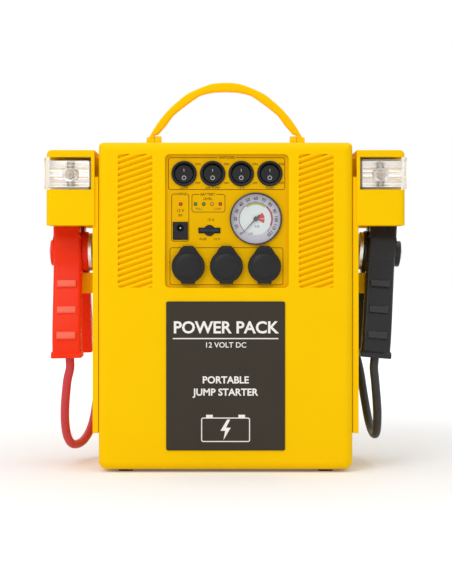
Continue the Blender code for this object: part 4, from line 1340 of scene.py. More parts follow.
@dataclass
class Label:
    """Dark film on the lower front with a plain printed design."""

    wide: float = 0.107
    low: float = 0.0203
    high: float = 0.1544
    thick: float = 0.0006
    margin: float = 0.006
    rule_z: float = 0.1205
    sign: tuple[float, float, float] = (0.022, 0.0280, 0.0500)
    pole_x: float = 0.0145

    def bar(self, bm: BMesh, x0: float, x1: float, z0: float, z1: float, y: float) -> None:
        """Print a plain bar.

        Args:
            bm: Mesh to add to.
            x0: Left edge.
            x1: Right edge.
            z0: Lower edge.
            z1: Upper edge.
            y: The face it is printed on.
        """
        prism(bm, [(x0, z0), (x1, z0), (x1, z1), (x0, z1)], Axis.Y, y - INK_T, y)

    def bolt(self, bm: BMesh, x: float, z: float, size: float, y: float) -> None:
        """Print a plain lightning bolt.

        Args:
            bm: Mesh to add to.
            x: Its middle across.
            z: Its middle upwards.
            size: Half its height.
            y: The face it is printed on.
        """
        shape = [(0.15, 1.0), (-0.5, -0.1), (-0.05, -0.1), (-0.2, -1.0), (0.5, 0.2), (0.05, 0.2), (0.45, 1.0)]
        prism(bm, [(x + a * size, z + b * size) for a, b in shape], Axis.Y, y - INK_T, y)

    def build(self) -> None:
        """Make the film and its print."""
        face = FRONT_Y - GAP - self.thick
        bm = bmesh.new()
        outline = rounded(-self.wide / 2, self.wide / 2, self.low, self.high, 0.0018)
        small = inset(outline, 0.0002)
        loft(bm, [(outline, face + self.thick), (outline, face + 0.0002), (small, face)], Axis.Y)
        dress(raw("label_film", bm), LABEL, "label_plate")
        bm = bmesh.new()
        lettering(bm, "POWER PACK", 0.0150, (0.0, 0.1305), face, bold=0.00035)
        self.bolt(bm, 0.0, 0.0390, 0.0092, face)
        dress(raw("label_title", bm), LABEL_PALE, "label_plate", stands=False)
        bm = bmesh.new()
        half = self.wide / 2 - self.margin
        self.bar(bm, -half, half, self.rule_z, self.rule_z + 0.001, face)
        lettering(bm, "12 VOLT DC", 0.0068, (0.0, 0.1150), face, bold=0.00006)
        lettering(bm, "PORTABLE", 0.0088, (0.0, 0.0835), face, bold=0.00022)
        lettering(bm, "JUMP STARTER", 0.0088, (0.0, 0.0725), face, bold=0.00022)
        wide, low, high = self.sign
        case = rounded(-wide, wide, low, high, 0.002)
        strip(bm, case, inset(case, 0.0009), face - INK_T, face)
        for x in (-self.pole_x, self.pole_x):
            self.bar(bm, x - 0.003, x + 0.003, high, high + 0.0025, face)
        dress(raw("label_lines", bm), LABEL_PALE, "label_plate", stands=False)


# ---- control panel ----
@dataclass
class ControlPanel:
    """Flat panel with its printing and every fitting on it."""

    switch_x: float = -0.0375
    switch_z: float = 0.2696
    switch_pitch: float = 0.0258
    switch_r: float = 0.0115
    barrel_r: float = 0.0099
    proud: float = 0.002
    barrel_deep: float = 0.012
    rocker_r: float = 0.0083
    rocker_tilt: float = math.radians(9)
    rocker_dish: float = 0.0022
    rocker_slope: float = 0.16
    rocker_back: float = 0.003
    mark_up: float = 0.0034
    outlet_x: float = -0.0337
    outlet_z: float = 0.1859
    outlet_pitch: float = 0.03435
    outlet_r: float = 0.0149
    outlet_deep: float = 0.030
    flange: float = 0.0015
    bore_r: float = 0.0105
    cap_half: float = 0.0016
    crown_r: float = 0.0127
    hinge_up: float = 0.0174
    jack: tuple[float, float, float, float] = (-0.0408, 0.218, 0.0132, 0.0157)
    fuse: tuple[float, float, float, float, float] = (-0.0146, 0.2183, 0.0193, 0.0046, 0.0048)
    led_z: float = 0.2422
    led_r: float = 0.0015
    steps: int = 64

    def switch_xs(self) -> list[float]:
        """Return the middle of each switch across."""
        return [self.switch_x + i * self.switch_pitch for i in range(4)]

    def outlet_xs(self) -> list[float]:
        """Return the middle of each outlet across."""
        return [self.outlet_x + i * self.outlet_pitch for i in range(3)]

    def frame_line(self, bm: BMesh, x0: float, x1: float, z0: float, z1: float) -> None:
        """Print a thin frame.

        Args:
            bm: Mesh to add to.
            x0: Left edge.
            x1: Right edge.
            z0: Lower edge.
            z1: Upper edge.
        """
        outer = rounded(x0, x1, z0, z1, 0.0022)
        strip(bm, outer, inset(outer, 0.0005), PANEL_Y - INK_T, PANEL_Y + 0.00002)

    def printing(self) -> None:
        """Print the frames and the plain words."""
        bm, thin = bmesh.new(), 0.00003
        for box in ((-0.0518, 0.0537, 0.2550, 0.2842), (-0.0489, -0.0329, 0.2084, 0.2515),
                    (-0.0306, -0.0003, 0.2347, 0.2511), (-0.0504, 0.0520, 0.1691, 0.2030)):
            self.frame_line(bm, *box)
        for x in self.switch_xs():
            beside = min(x + 0.0125, 0.0506)
            lettering(bm, "ON", 0.0031, (beside, 0.2781), PANEL_Y, bold=thin)
            lettering(bm, "OFF", 0.0026, (beside, 0.2610), PANEL_Y, bold=thin)
        for x, word in zip(self.switch_xs(), ("LAMP", "AIR PUMP", "12 V", "MAIN")):
            lettering(bm, word, 0.0031, (x, 0.2567), PANEL_Y)
        breaks = bmesh.new()
        for word, size, at in (("SWITCHES", 0.0030, (0.0012, 0.2839)), ("CHARGE", 0.0028, (-0.0409, 0.2512)),
                               ("BATTERY", 0.0032, (-0.0160, 0.2508))):
            half = len(word) * size * 0.34
            block(breaks, (at[0] - half, PANEL_Y - INK_T * 1.2, at[1] - size * 0.3),
                  (at[0] + half, PANEL_Y + INK_T, at[1] + size * 0.3))
            lettering(bm, word, size, at, PANEL_Y - INK_T * 0.8, bold=thin)
        for word, size, at in (("12 V", 0.0036, (-0.0409, 0.2362)), ("IN", 0.0036, (-0.0409, 0.2320)),
                               ("LEVEL", 0.0032, (-0.0160, 0.2468)),
                               ("15 A", 0.0034, (-0.0134, 0.2279)), ("FUSE", 0.0030, (-0.0203, 0.2105)),
                               ("12 V", 0.0030, (-0.0080, 0.2105))):
            lettering(bm, word, size, at, PANEL_Y, bold=thin)
        node = "control_panel"
        dress(raw("panel_print", bm), INK, node, stands=False)
        dress(raw("panel_frame_breaks", breaks), PANEL_YELLOW, node, stands=False)
        for name, word, at, paint in (("full_print", "FULL", (-0.0240, 0.2378), GREEN_INK),
                                      ("low_print", "LOW", (-0.0072, 0.2378), RED_INK)):
            bm = bmesh.new()
            lettering(bm, word, 0.0029, at, PANEL_Y, bold=thin)
            dress(raw(name, bm), paint, node, stands=False)

    def bezel(self, index: int, x: float) -> None:
        """Make a switch's round body.

        Args:
            index: Number of the switch.
            x: Its middle.
        """
        front, mouth = PANEL_Y - self.proud, self.rocker_r + 0.0004
        floor, ease, seat = front + self.barrel_deep, 0.0010, PANEL_Y - GAP
        profile = [(0, floor + 0.0015), (self.barrel_r, floor + 0.0015), (self.barrel_r, seat),
                   (self.switch_r - 0.0002, seat), (self.switch_r, seat - 0.0002)]
        profile += [(self.switch_r - ease + ease * math.cos(a), front + ease - ease * math.sin(a))
                    for a in (math.pi / 2 * i / 5 for i in range(6))]
        profile += [(mouth + 0.0012, front + 0.0001), (mouth + 0.0003, front + 0.0008), (mouth, front + 0.0014),
                    (mouth, floor), (0, floor)]
        turned_piece(f"switch_{index}_bezel", profile, (x, 0, self.switch_z), self.steps, SWITCH_BLACK,
                     f"switch_bezel_{index}")

    def rocker_body(self) -> BMesh:
        """Make a rocker: a dished face within a ball's outline, and a flat back.

        Returns:
            Its mesh, about the rocker's axis.
        """
        dish, slope, steps, rows = self.rocker_dish, self.rocker_slope, self.steps, []
        for share in (0.0, 0.15, 0.3, 0.5, 0.7, 0.85, 0.95, 1.0):
            row = []
            for i in range(steps if share else 1):
                angle = 2 * math.pi * i / steps
                s = abs(math.sin(angle))
                a, b = 1 + (slope * s) ** 2, dish * slope * s
                edge = (-b + math.sqrt(b * b - a * (dish ** 2 - self.rocker_r ** 2))) / a
                r = share * edge
                row.append((r * math.cos(angle), -(dish + slope * r * s), r * math.sin(angle)))
            rows.append(row)
        rim = [point[1] for point in rows[-1]]
        for share in (0.1, 0.35, 0.7, 1.0):
            row = []
            for i, edge in enumerate(rim):
                angle = 2 * math.pi * i / steps
                y = edge + (self.rocker_back - edge) * share
                r = math.sqrt(self.rocker_r ** 2 - y * y)
                row.append((r * math.cos(angle), y, r * math.sin(angle)))
            rows.append(row)
        bm = bmesh.new()
        made = [[bm.verts.new(p) for p in row] for row in rows]
        for low, high in zip(made, made[1:]):
            for i in range(steps):
                j = (i + 1) % steps
                bm.faces.new(list(dict.fromkeys([low[i % len(low)], low[j % len(low)], high[j], high[i]])))
        bm.faces.new(made[-1])
        return bm

    def rocker_marks(self) -> BMesh:
        """Make the bar and the ring on a rocker's face.

        Returns:
            Their mesh, about the rocker's axis.
        """
        bm, up, front, sunk = bmesh.new(), self.mark_up, -0.0001, 0.00003
        face, lean = -(self.rocker_dish + self.rocker_slope * up), math.atan(self.rocker_slope)
        bar = bmesh.new()
        prism(bar, [(-0.0003, -0.0013), (0.0003, -0.0013), (0.0003, 0.0013), (-0.0003, 0.0013)],
              Axis.Y, front, sunk)
        ring = bmesh.new()
        circle = arc((0, 0), 0.0020, 0, 360 - 360 / 32, 31)
        strip(ring, circle, [(a * 0.68, b * 0.68) for a, b in circle], front, sunk)
        for way, mark in ((1, bar), (-1, ring)):
            stamp(bm, mark, Matrix.Translation((0, face, way * up)) @ Matrix.Rotation(way * lean, 4, "X"))
        return bm

    def rocker(self, index: int, x: float) -> None:
        """Make a rocker and its two marks, resting at off.

        Args:
            index: Number of the switch.
            x: Its middle.
        """
        place = (Matrix.Translation((x, PANEL_Y - self.proud + self.rocker_back, self.switch_z))
                 @ Matrix.Rotation(self.rocker_tilt, 4, "X"))
        node = f"switch_rocker_{index}"
        dress(raw(f"switch_{index}_rocker", self.rocker_body(), place), SWITCH_BLACK, node, angle=40)
        dress(raw(f"switch_{index}_marks", self.rocker_marks(), place), WHITE_INK, node, stands=False)

    def socket(self, index: int, x: float) -> None:
        """Make a 12 V socket with its flange and its inner contact shell.

        Args:
            index: Number of the outlet.
            x: Its middle.
        """
        front, seat, edge, bore = PANEL_Y - GAP - self.flange, PANEL_Y - GAP, self.outlet_r, self.bore_r
        back, barrel, node = front + self.outlet_deep, bore + 0.0027, f"outlet_socket_{index}"
        profile = [(0, back + 0.002), (barrel, back + 0.002), (barrel, seat), (edge, seat),
                   (edge, front + 0.0005), (edge - 0.0005, front), (bore + 0.0006, front),
                   (bore, front + 0.0006), (bore, back), (0, back)]
        turned_piece(f"outlet_{index}_socket", profile, (x, 0, self.outlet_z), self.steps, BLACK, node)
        bm = bmesh.new()
        shell = bore - 0.0001
        turned(bm, [(shell, front + 0.007), (shell, back - 0.0002), (0, back - 0.0002), (0, back - 0.0006),
                    (shell - 0.0004, back - 0.0006), (shell - 0.0004, front + 0.007)], Axis.Y,
               (x, 0, self.outlet_z), 48, ring=True)
        turned(bm, [(0, back - 0.0005), (0.0028, back - 0.0005), (0.0028, back - 0.003), (0.0020, back - 0.004),
                    (0, back - 0.004)], Axis.Y, (x, 0, self.outlet_z), 24)
        dress(raw(f"outlet_{index}_contact", bm), STEEL, node, stands=False)

    def cap(self, index: int, x: float) -> None:
        """Make a rubber cap: strap, crowned disc, finger tab and plug.

        Args:
            index: Number of the outlet.
            x: Its middle.
        """
        top, drop, half, crown_r = 0.0012, -self.hinge_up, self.cap_half, self.crown_r
        y = PANEL_Y - GAP - self.flange - GAP - half
        shoulder = ((-0.0040, top, 0), (-0.0068, -0.0014, 0), (-0.0092, -0.0052, 0), (-0.0114, -0.0078, 0))
        outline = [(0.0, top)] + [(p[0], p[1]) for p in smooth_line(shoulder, 0.0012)]
        outline += arc((0, drop), self.outlet_r, 143, 245, 40)
        outline += [(-0.0061, drop - self.outlet_r - 0.0008), (0.0, drop - self.outlet_r - 0.0008)]
        outline += [(-a, b) for a, b in reversed(outline[1:-1])]
        bm = bmesh.new()
        loft(bm, [(outline, half), (outline, -half + 0.0010), (inset(outline, 0.0003), -half + 0.0004),
                  (inset(outline, 0.0009), -half)], Axis.Y)
        cap = raw("cap", bm)
        bm = bmesh.new()
        crown = [(0, -half - 0.0021), (0.0045, -half - 0.0020), (0.0085, -half - 0.0017),
                 (0.0106, -half - 0.0011), (0.0121, -half), (crown_r, -half + 0.0006), (crown_r, 0), (0, 0)]
        turned(bm, crown, Axis.Y, (0, 0, drop), self.steps)
        plug, neck, end = self.bore_r - 0.0006, self.bore_r - 0.0012, half + 0.004
        turned(bm, [(0, 0), (neck, 0), (neck, half + 0.001), (plug, half + 0.0018), (plug, half + 0.0026),
                    (neck, half + 0.0034), (neck - 0.0006, end), (0, end)], Axis.Y, (0, 0, drop), self.steps)
        lip = arc((0, drop), 0.0150, 58, 122, 24)
        strip(bm, lip, [(a * 0.91, drop + (b - drop) * 0.91) for a, b in lip], -half - 0.0009, -half + 0.0005,
              closed=False)
        place = Matrix.Translation((x, y, self.outlet_z + self.hinge_up))
        bm.from_mesh(cap.data)
        bpy.data.objects.remove(cap, do_unlink=True)
        node = f"outlet_cap_{index}"
        dress(raw(f"outlet_{index}_cap", bm, place), RUBBER, node)

    def charge_jack(self) -> None:
        """Make the charging socket with its pin."""
        x, z, wide, high = self.jack
        front = PANEL_Y - 0.0012
        bm = bmesh.new()
        outline = rounded(x - wide / 2, x + wide / 2, z - high / 2, z + high / 2, 0.0006, steps=4)
        loft(bm, [(inset(outline, 0.0004), front), (outline, front + 0.0004), (outline, front + 0.014)], Axis.Y)
        jack = raw("charge_jack", bm)
        bm = bmesh.new()
        hole = (x, 0, z + 0.0025)
        mouth, bore, end = 0.0036, 0.00315, front + 0.009
        turned(bm, [(0, front - 0.002), (mouth, front - 0.002), (mouth, front - 0.00005),
                    (bore, front + 0.0004), (bore, end), (0, end)], Axis.Y, hole, 40)
        cut(jack, raw("jack_tool", bm))
        dress(jack, SWITCH_BLACK, "dc_jack")
        turned_piece("charge_jack_pin", [(0, front + 0.0091), (0.001, front + 0.0091), (0.001, front + 0.0009),
                                         (0.0006, front + 0.0003), (0, front + 0.0003)], hole, 24, STEEL,
                     "dc_jack", stands=False)

    def fuse_outline(self, grow: float) -> list[Point2]:
        """Draw the holder's outline, a bar with a disc at its middle.

        Args:
            grow: How far it is grown.

        Returns:
            The outline.
        """
        x, z, wide, high, disc = self.fuse
        half_w, half_h, radius = wide / 2 + grow, high / 2 + grow, disc + grow
        meet = math.degrees(math.asin(half_h / radius))
        points = [(x + half_w, z - half_h), (x + half_w, z + half_h)]
        points += arc((x, z), radius, meet, 180 - meet, 16)
        points += [(x - half_w, z + half_h), (x - half_w, z - half_h)]
        return points + arc((x, z), radius, 180 + meet, 360 - meet, 16)

    def fuse_holder(self) -> None:
        """Make the holder and the blade fuse that pulls out of it."""
        x, z, wide, high, _ = self.fuse
        wall, depth, front = 0.0007, 0.014, PANEL_Y - 0.001
        bm = bmesh.new()
        prism(bm, self.fuse_outline(0.0), Axis.Y, front, front + depth + 0.0015, 0.0002)
        holder = raw("fuse_holder_body", bm)
        half_w, half_h = wide / 2 - wall, high / 2 - wall
        bm = bmesh.new()
        block(bm, (x - half_w, front - 0.002, z - half_h), (x + half_w, front + depth, z + half_h))
        cut(holder, raw("pocket_tool", bm))
        dress(holder, SWITCH_BLACK, "fuse_holder")
        half_w, half_t = half_w - GAP, half_h - GAP
        bm = bmesh.new()
        top, base = -0.0012, 0.0045
        outline = [(-half_w, top), (-0.0042, top), (-0.0036, -0.0007), (0.0036, -0.0007), (0.0042, top),
                   (half_w, top), (half_w, base), (-half_w, base)]
        prism(bm, outline, Axis.Z, -half_t, half_t, 0.00025)
        place = Matrix.Translation((x, front, z))
        dress(raw("fuse_head", bm, place), FUSE_BLUE, "blade_fuse")
        bm = bmesh.new()
        tip = depth - GAP - 0.001
        for side in (-1, 1):
            near, far, root = half_w - 0.0052, half_w - 0.0008, base - 0.0001
            blade = [(side * near, root), (side * far, root), (side * far, tip - 0.001),
                     (side * (far - 0.001), tip), (side * (near + 0.001), tip), (side * near, tip - 0.001)]
            prism(bm, blade, Axis.Z, -0.0004, 0.0004)
        dress(raw("fuse_blades", bm, place), STEEL, "blade_fuse", stands=False)

    def indicators(self) -> None:
        """Make the small domed lamps."""
        lamps = [("charge_led", -0.0405, LED_RED)]
        for i, finish in enumerate((LED_GREEN, LED_GREEN, LED_AMBER, LED_RED)):
            lamps.append((f"battery_led_{i + 1}", -0.0272 + i * 0.00747, finish))
        tip, back = PANEL_Y - 0.0011, PANEL_Y + 0.0025
        for node, x, finish in lamps:
            r, collar = self.led_r, self.led_r + 0.0005
            profile = [(0, back + 0.005), (collar, back + 0.005), (collar, back + GAP), (r, back + GAP)]
            profile += [(r * math.cos(a), tip + r * (1 - math.sin(a))) for a in
                        (math.pi / 2 * i / 8 for i in range(8))]
            turned_piece(f"{node}_dome", profile + [(0, tip)], (x, 0, self.led_z), 28, finish, node)

    def build(self) -> None:
        """Make the panel's print and fittings."""
        self.printing()
        for i, x in enumerate(self.switch_xs(), 1):
            self.bezel(i, x)
            self.rocker(i, x)
        for i, x in enumerate(self.outlet_xs(), 1):
            self.socket(i, x)
            self.cap(i, x)
        self.charge_jack()
        self.fuse_holder()
        self.indicators()


@dataclass
class Gauge:
    """Air pressure gauge with a printed dial."""

    x: float = 0.0273
    z: float = 0.2289
    radius: float = 0.0237
    proud: float = 0.0025
    depth: float = 0.024
    rim: float = 0.0011
    scale_r: float = 0.0149
    first: float = 225.0
    sweep: float = 270.0
    marks: int = 12
    needle: float = math.radians(228)
    dial_deep: float = 0.006
    steps: int = 96

    def at(self, radius: float, degrees: float) -> Point2:
        """Return a place on the dial."""
        angle = math.radians(degrees)
        return (self.x + radius * math.cos(angle), self.z + radius * math.sin(angle))

    def band(self, outer: float, inner: float, start: float, end: float, y: float, name: str,
             finish: Finish) -> None:
        """Print an arc on the dial.

        Args:
            outer: Its outer radius.
            inner: Its inner radius.
            start: Its first angle in degrees.
            end: Its last angle.
            y: The face it is printed on.
            name: Name of the piece.
            finish: Its finish.
        """
        bm = bmesh.new()
        strip(bm, arc((self.x, self.z), outer, start, end, 40), arc((self.x, self.z), inner, start, end, 40),
              y - INK_T, y, closed=False)
        dress(raw(name, bm), finish, "gauge_dial", stands=False)

    def dial(self) -> float:
        """Make the dial and its print.

        Returns:
            The place of its face.
        """
        back, edge = PANEL_Y + self.dial_deep - GAP, self.radius - self.rim - GAP
        face, scale, centre = back - 0.0008, self.scale_r, (self.x, 0, self.z)
        turned_piece("dial_plate", [(0, back), (edge, back), (edge, face), (0, face)], centre, self.steps,
                     DIAL_RIM, "gauge_dial")
        rim, top = scale - 0.0004, face - INK_T / 2
        turned_piece("dial_middle", [(0, face), (rim, face), (rim, top), (0, top)], centre, self.steps,
                     DIAL_FACE, "gauge_dial", stands=False)
        self.band(scale - 0.0003, scale - 0.0020, 127, 52, face, "dial_green_arc", DIAL_GREEN)
        self.band(scale + 0.0006, scale - 0.0010, 49, -24, face - INK_T / 4, "dial_red_arc", DIAL_RED)
        self.band(0.0081, 0.0012, 45, 3, face, "dial_fan_upper", FAN_RED)
        self.band(0.0081, 0.0012, -1, -29, face, "dial_fan_lower", FAN_RED)
        bm = bmesh.new()
        line, thin = (arc((self.x, self.z), scale + half, self.first, self.first - self.sweep, 80)
                      for half in (0.0002, -0.0002))
        strip(bm, line, thin, face - INK_T, face, closed=False)
        for i in range(self.marks + 1):
            angle = self.first - self.sweep * i / self.marks
            lettering(bm, str(i * 10), 0.0040, self.at(0.0184, angle), face, angle - 90, 0.00011)
        lettering(bm, "psi", 0.0036, (self.x - 0.0044, self.z - 0.0130), face)
        lettering(bm, "AIR", 0.0030, (self.x + 0.0012, self.z - 0.0069), face)
        dress(raw("dial_numbers", bm), DIAL_DARK, "gauge_dial", stands=False)
        for name, count, long, wide in (("major", self.marks, 0.0016, 0.00035),
                                        ("minor", self.marks * 5, 0.0009, 0.00016)):
            bm, half, end = bmesh.new(), wide / 2, scale + long
            prism(bm, [(scale, -half), (end, -half), (end, half), (scale, half)], Axis.Y, face - INK_T, face)
            tick = raw(f"dial_{name}_ticks", bm)
            Row(count + 1, start=(self.x, 0.0, self.z), first_turn=-math.radians(self.first),
                turn=math.radians(self.sweep / count)).apply(tick, DIAL_DARK)
            dress(tick, DIAL_DARK, "gauge_dial", stands=False)
        return face

    def build(self) -> None:
        """Make the case, dial, needle and glass."""
        front, floor, seat = PANEL_Y - self.proud, PANEL_Y + self.dial_deep, PANEL_Y - GAP
        r, body, inner, back = self.radius, self.radius - 0.0012, self.radius - self.rim, front + self.depth
        centre = (self.x, 0, self.z)
        profile = [(0, back), (body, back), (body, seat), (r - 0.0002, seat), (r, seat - 0.0002),
                   (r, front + 0.0006), (r - 0.0002, front + 0.0002), (r - 0.0006, front),
                   (inner + 0.0002, front), (inner, front + 0.0003), (inner, floor), (0, floor)]
        turned_piece("gauge_cup", profile, centre, self.steps, GAUGE_RIM, "gauge_case")
        face = self.dial()
        bm = bmesh.new()
        half = 0.00055
        outline = [(-0.005, -half), (0.0, -half), (0.0167, -half / 2), (0.0172, 0), (0.0167, half / 2),
                   (0.0, half), (-0.005, half)]
        prism(bm, outline, Axis.Y, -0.0006, 0, 0.0001)
        turned(bm, [(0, -0.0016), (0.0015, -0.0016), (0.0021, -0.0011), (0.0021, 0.0009), (0, 0.0009)],
               Axis.Y, steps=32)
        place = Matrix.Translation((self.x, face - 0.0012, self.z)) @ Matrix.Rotation(-self.needle, 4, "Y")
        dress(raw("gauge_pointer", bm, place), NEEDLE, "gauge_needle")
        edge = inner - GAP
        profile = [(0, front + 0.0002), (edge * 0.6, front + 0.00024), (edge - 0.0004, front + 0.0004),
                   (edge, front + 0.0007), (edge, front + 0.0016), (0, front + 0.0016)]
        turned_piece("gauge_glass", profile, centre, self.steps, THIN_CLEAR, "gauge_lens")


# ---- side mouldings and lamps ----
@dataclass
class SideLamp:
    """One side moulding with its corner lamp."""

    side: int
    word: str
    pod_x: Point2 = (0.1185, 0.1623)
    pod_y: float = -0.056
    bulkhead: float = -0.0257
    lens_z: float = 0.2556
    lens_h: float = 0.0289
    lens_proud: float = 0.004
    lens_out: float = 0.0014
    lens_t: float = 0.002
    flutes: int = 9
    ripple: float = 0.00025
    trough: float = 0.0095
    bulb_r: float = 0.0046

    def span(self) -> tuple[float, float, float, float, float, float]:
        """Return the lens's box as x0, x1, y0, y1, z0, z1, with x on the right-hand side."""
        return (self.pod_x[0] + 0.003 + GAP, self.pod_x[1] + self.lens_out, self.pod_y - self.lens_proud,
                self.bulkhead - GAP, self.lens_z, self.lens_z + self.lens_h)

    def moulding(self) -> None:
        """Make the side moulding with softened edges."""
        node = f"{self.word}_side_panel"
        piece = soften(copy_of(node, f"{self.word}_side_moulding"), 0.0007, 2)
        dress(piece, YELLOW, node, angle=28)

    def lens(self) -> None:
        """Make the clear wrap-round lens."""
        x0, x1, y0, y1, z0, z1 = self.span()
        bm = bmesh.new()
        block(bm, (x0, y0, z0), (x1, y1, z1))
        near, thick = 1e-4, self.lens_t
        round_edges(bm, lambda mid, way: abs(way.z) > 0.9 and mid.x > x1 - near and mid.y < y0 + near,
                    0.0045, 8)
        round_edges(bm, lambda mid, way: mid.y < y0 + 0.006 and not z0 + 1e-5 <= mid.z <= z1 - 1e-5,
                    0.0010, 3)
        flip = Matrix.Diagonal((self.side, 1, 1, 1))
        lens = raw(f"{self.word}_lens", bm, flip)
        bm = bmesh.new()
        block(bm, (x0 + thick, y0 + thick, z0 + thick), (x1 - thick, y1 + 0.01, z1 - thick))
        round_edges(bm, lambda mid, way: abs(way.z) > 0.9 and mid.x > x1 - thick - near
                    and mid.y < y0 + thick + near, 0.0027, 6)
        cut(lens, raw("lens_tool", bm, flip))
        self.turn_out(lens)
        node = f"{self.word}_lamp_lens"
        dress(lens, CLEAR, node)

    def turn_out(self, obj: Object) -> None:
        """Make a mirrored piece's faces point outwards.

        Args:
            obj: The piece.
        """
        bm = bmesh.new()
        bm.from_mesh(obj.data)
        bmesh.ops.recalc_face_normals(bm, faces=bm.faces[:])
        bm.to_mesh(obj.data)
        bm.free()

    def reflector(self) -> None:
        """Make the chromed trough with its fine flutes."""
        x0, x1, _, y1, z0, z1 = self.span()
        edge = self.lens_t + GAP
        in0, in1, low, high = x0 + edge, x1 - edge, z0 + edge, z1 - edge
        middle, half = (low + high) / 2, (high - low) / 2
        rim, wall, steps, trough = y1 - 0.0125, 0.0008, self.flutes * 6, []
        for i in range(steps + 1):
            share = -1 + 2 * i / steps
            ripple = self.ripple * abs(math.sin(math.pi * self.flutes * (i / steps)))
            trough.append((rim + self.trough * (1 - share * share) - ripple, middle + share * (half - 0.0005)))
        outline = [(rim, low)] + trough + [(rim, high), (y1, high), (y1, low)]
        bm = bmesh.new()
        loft(bm, [(outline, in0 + wall), (outline, in1 - wall)], Axis.X)
        for start in (in0, in1 - wall):
            block(bm, (start, rim - 0.004, low), (start + wall, y1, high))
        for start in (low, high - 0.0006):
            block(bm, (in0, rim - 0.004, start), (in1, rim + 0.0002, start + 0.0006))
        flip = Matrix.Diagonal((self.side, 1, 1, 1))
        node = f"{self.word}_lamp_reflector"
        dress(raw(f"{self.word}_reflector", bm, flip), CHROME, node, angle=22)

    def bulb(self) -> None:
        """Make the bulb, its filament and its cap."""
        x0, x1, _, y1, z0, z1 = self.span()
        centre = (self.side * (x0 + x1) / 2, 0, (z0 + z1) / 2)
        face, r, node = y1 - 0.012, self.bulb_r, f"{self.word}_lamp_bulb"
        glass = [(0, face + 0.004), (0.0034, face + 0.004)]
        glass += [(r * math.cos(a), face - 0.001 - r * math.sin(a))
                  for a in (math.radians(-40 + 13 * i) for i in range(10))]
        turned_piece(f"{self.word}_bulb", glass + [(0, face - 0.001 - r)], centre, 32, BULB_GLASS, node)
        filament = Coil(9.0, 0.0005, 0.0036, 0.00014)
        start = Matrix.Translation((centre[0] - filament.length / 2, face - 0.0012, centre[2]))
        dress(filament.apply(f"{self.word}_filament", FILAMENT, start @ Matrix.Rotation(math.pi / 2, 4, "Y")),
              FILAMENT, node, stands=False)
        bm = bmesh.new()
        base, top, cap_r, rim = y1 - GAP, face + 0.0042, 0.0036, 0.0075
        turned(bm, [(0, base), (cap_r, base), (cap_r, top), (0, top)], Axis.Y, centre, 32)
        turned(bm, [(r, face + 0.0060), (rim, face + 0.0070), (rim, face + 0.0078), (r, face + 0.0070)],
               Axis.Y, centre, 40, ring=True)
        dress(raw(f"{self.word}_bulb_cap", bm), STEEL, node, stands=False)

    def build(self) -> None:
        """Make the moulding and the lamp."""
        self.moulding()
        self.lens()
        self.reflector()
        self.bulb()


# ---- carry handle ----
@dataclass
class CarryHandle:
    """Arched finger-grip handle."""

    y: float = HANDLE_Y
    thick: float = 0.009
    pivot: float = HANDLE_PIVOT_Z
    foot: Point2 = HANDLE_FOOT
    pin_r: float = HANDLE_PIN_R
    ease: float = 0.0020
    steps: int = 120
    outer: Sequence[Point2] = ((0, 0.3592), (0.0120, 0.3583), (0.0210, 0.3555), (0.0300, 0.3517),
                               (0.0375, 0.3478), (0.0445, 0.3422), (0.0520, 0.3355), (0.0585, 0.3285),
                               (0.0640, 0.3213), (0.0690, 0.3135), (0.0745, HANDLE_PIVOT_Z))
    facets: Sequence[Point2] = ((0.0670, 0.3097), (0.0636, 0.3104), (0.0564, 0.3186), (0.0504, 0.3270),
                                (0.0488, 0.3288), (0.0413, 0.3349), (0.0337, 0.3406), (0.0256, 0.3462),
                                (0.0236, 0.3472), (0.0185, 0.3487), (0.0110, 0.3502), (0.0, 0.3506))

    def line(self, points: Sequence[Point2], spacing: float) -> list[Point2]:
        """Return a smooth line through points, about the pivot."""
        return [(p[0], p[1] - self.pivot) for p in smooth_line([(x, z, 0) for x, z in points], spacing)]

    def sections(self) -> tuple[list[Point2], list[Point2]]:
        """Read the arch's outer and inner lines at the same shares of their lengths.

        Returns:
            The outer line and the inner line.
        """
        over = self.line([(-x, z) for x, z in reversed(self.outer[1:])] + list(self.outer), 0.0012)
        under = [(self.foot[0], 0.0)] + [(x, z - self.pivot) for x, z in self.facets]
        under += [(-x, z) for x, z in reversed(under[:-1])]
        over.reverse()
        return resample(over, self.steps), resample(under, self.steps)

    def build(self) -> None:
        """Make the handle with its rounded section and pivot eyes."""
        bm = bmesh.new()
        over, under = self.sections()
        rings = []
        for (x0, z0), (x1, z1) in zip(over, under):
            way = Vector((x1 - x0, 0, z1 - z0))
            deep = way.length
            way.normalize()
            ring = []
            for u, y in rounded(0, deep, -self.thick / 2, self.thick / 2, self.ease, steps=4):
                ring.append(bm.verts.new(Vector((x0, y, z0)) + way * u))
            rings.append(ring)
        for low, high in zip(rings, rings[1:]):
            for i in range(len(low)):
                j = (i + 1) % len(low)
                bm.faces.new((low[i], high[i], high[j], low[j]))
        bm.faces.new(rings[0])
        bm.faces.new(rings[-1][::-1])
        for side in (-1, 1):
            a, b = side * (self.foot[0] - 0.0001), side * (self.foot[1] + 0.0002)
            r, hole = self.thick / 2 + 0.0003, self.pin_r + 0.0004
            turned(bm, [(hole, a), (r - 0.0004, a), (r, a + side * 0.0004), (r, b - side * 0.0006),
                        (r - 0.0006, b), (hole, b)], Axis.X, steps=40, ring=True)
        handle = raw("handle_arch", bm, Matrix.Translation((0, self.y, self.pivot)))
        dress(handle, YELLOW, "carry_handle", angle=34)


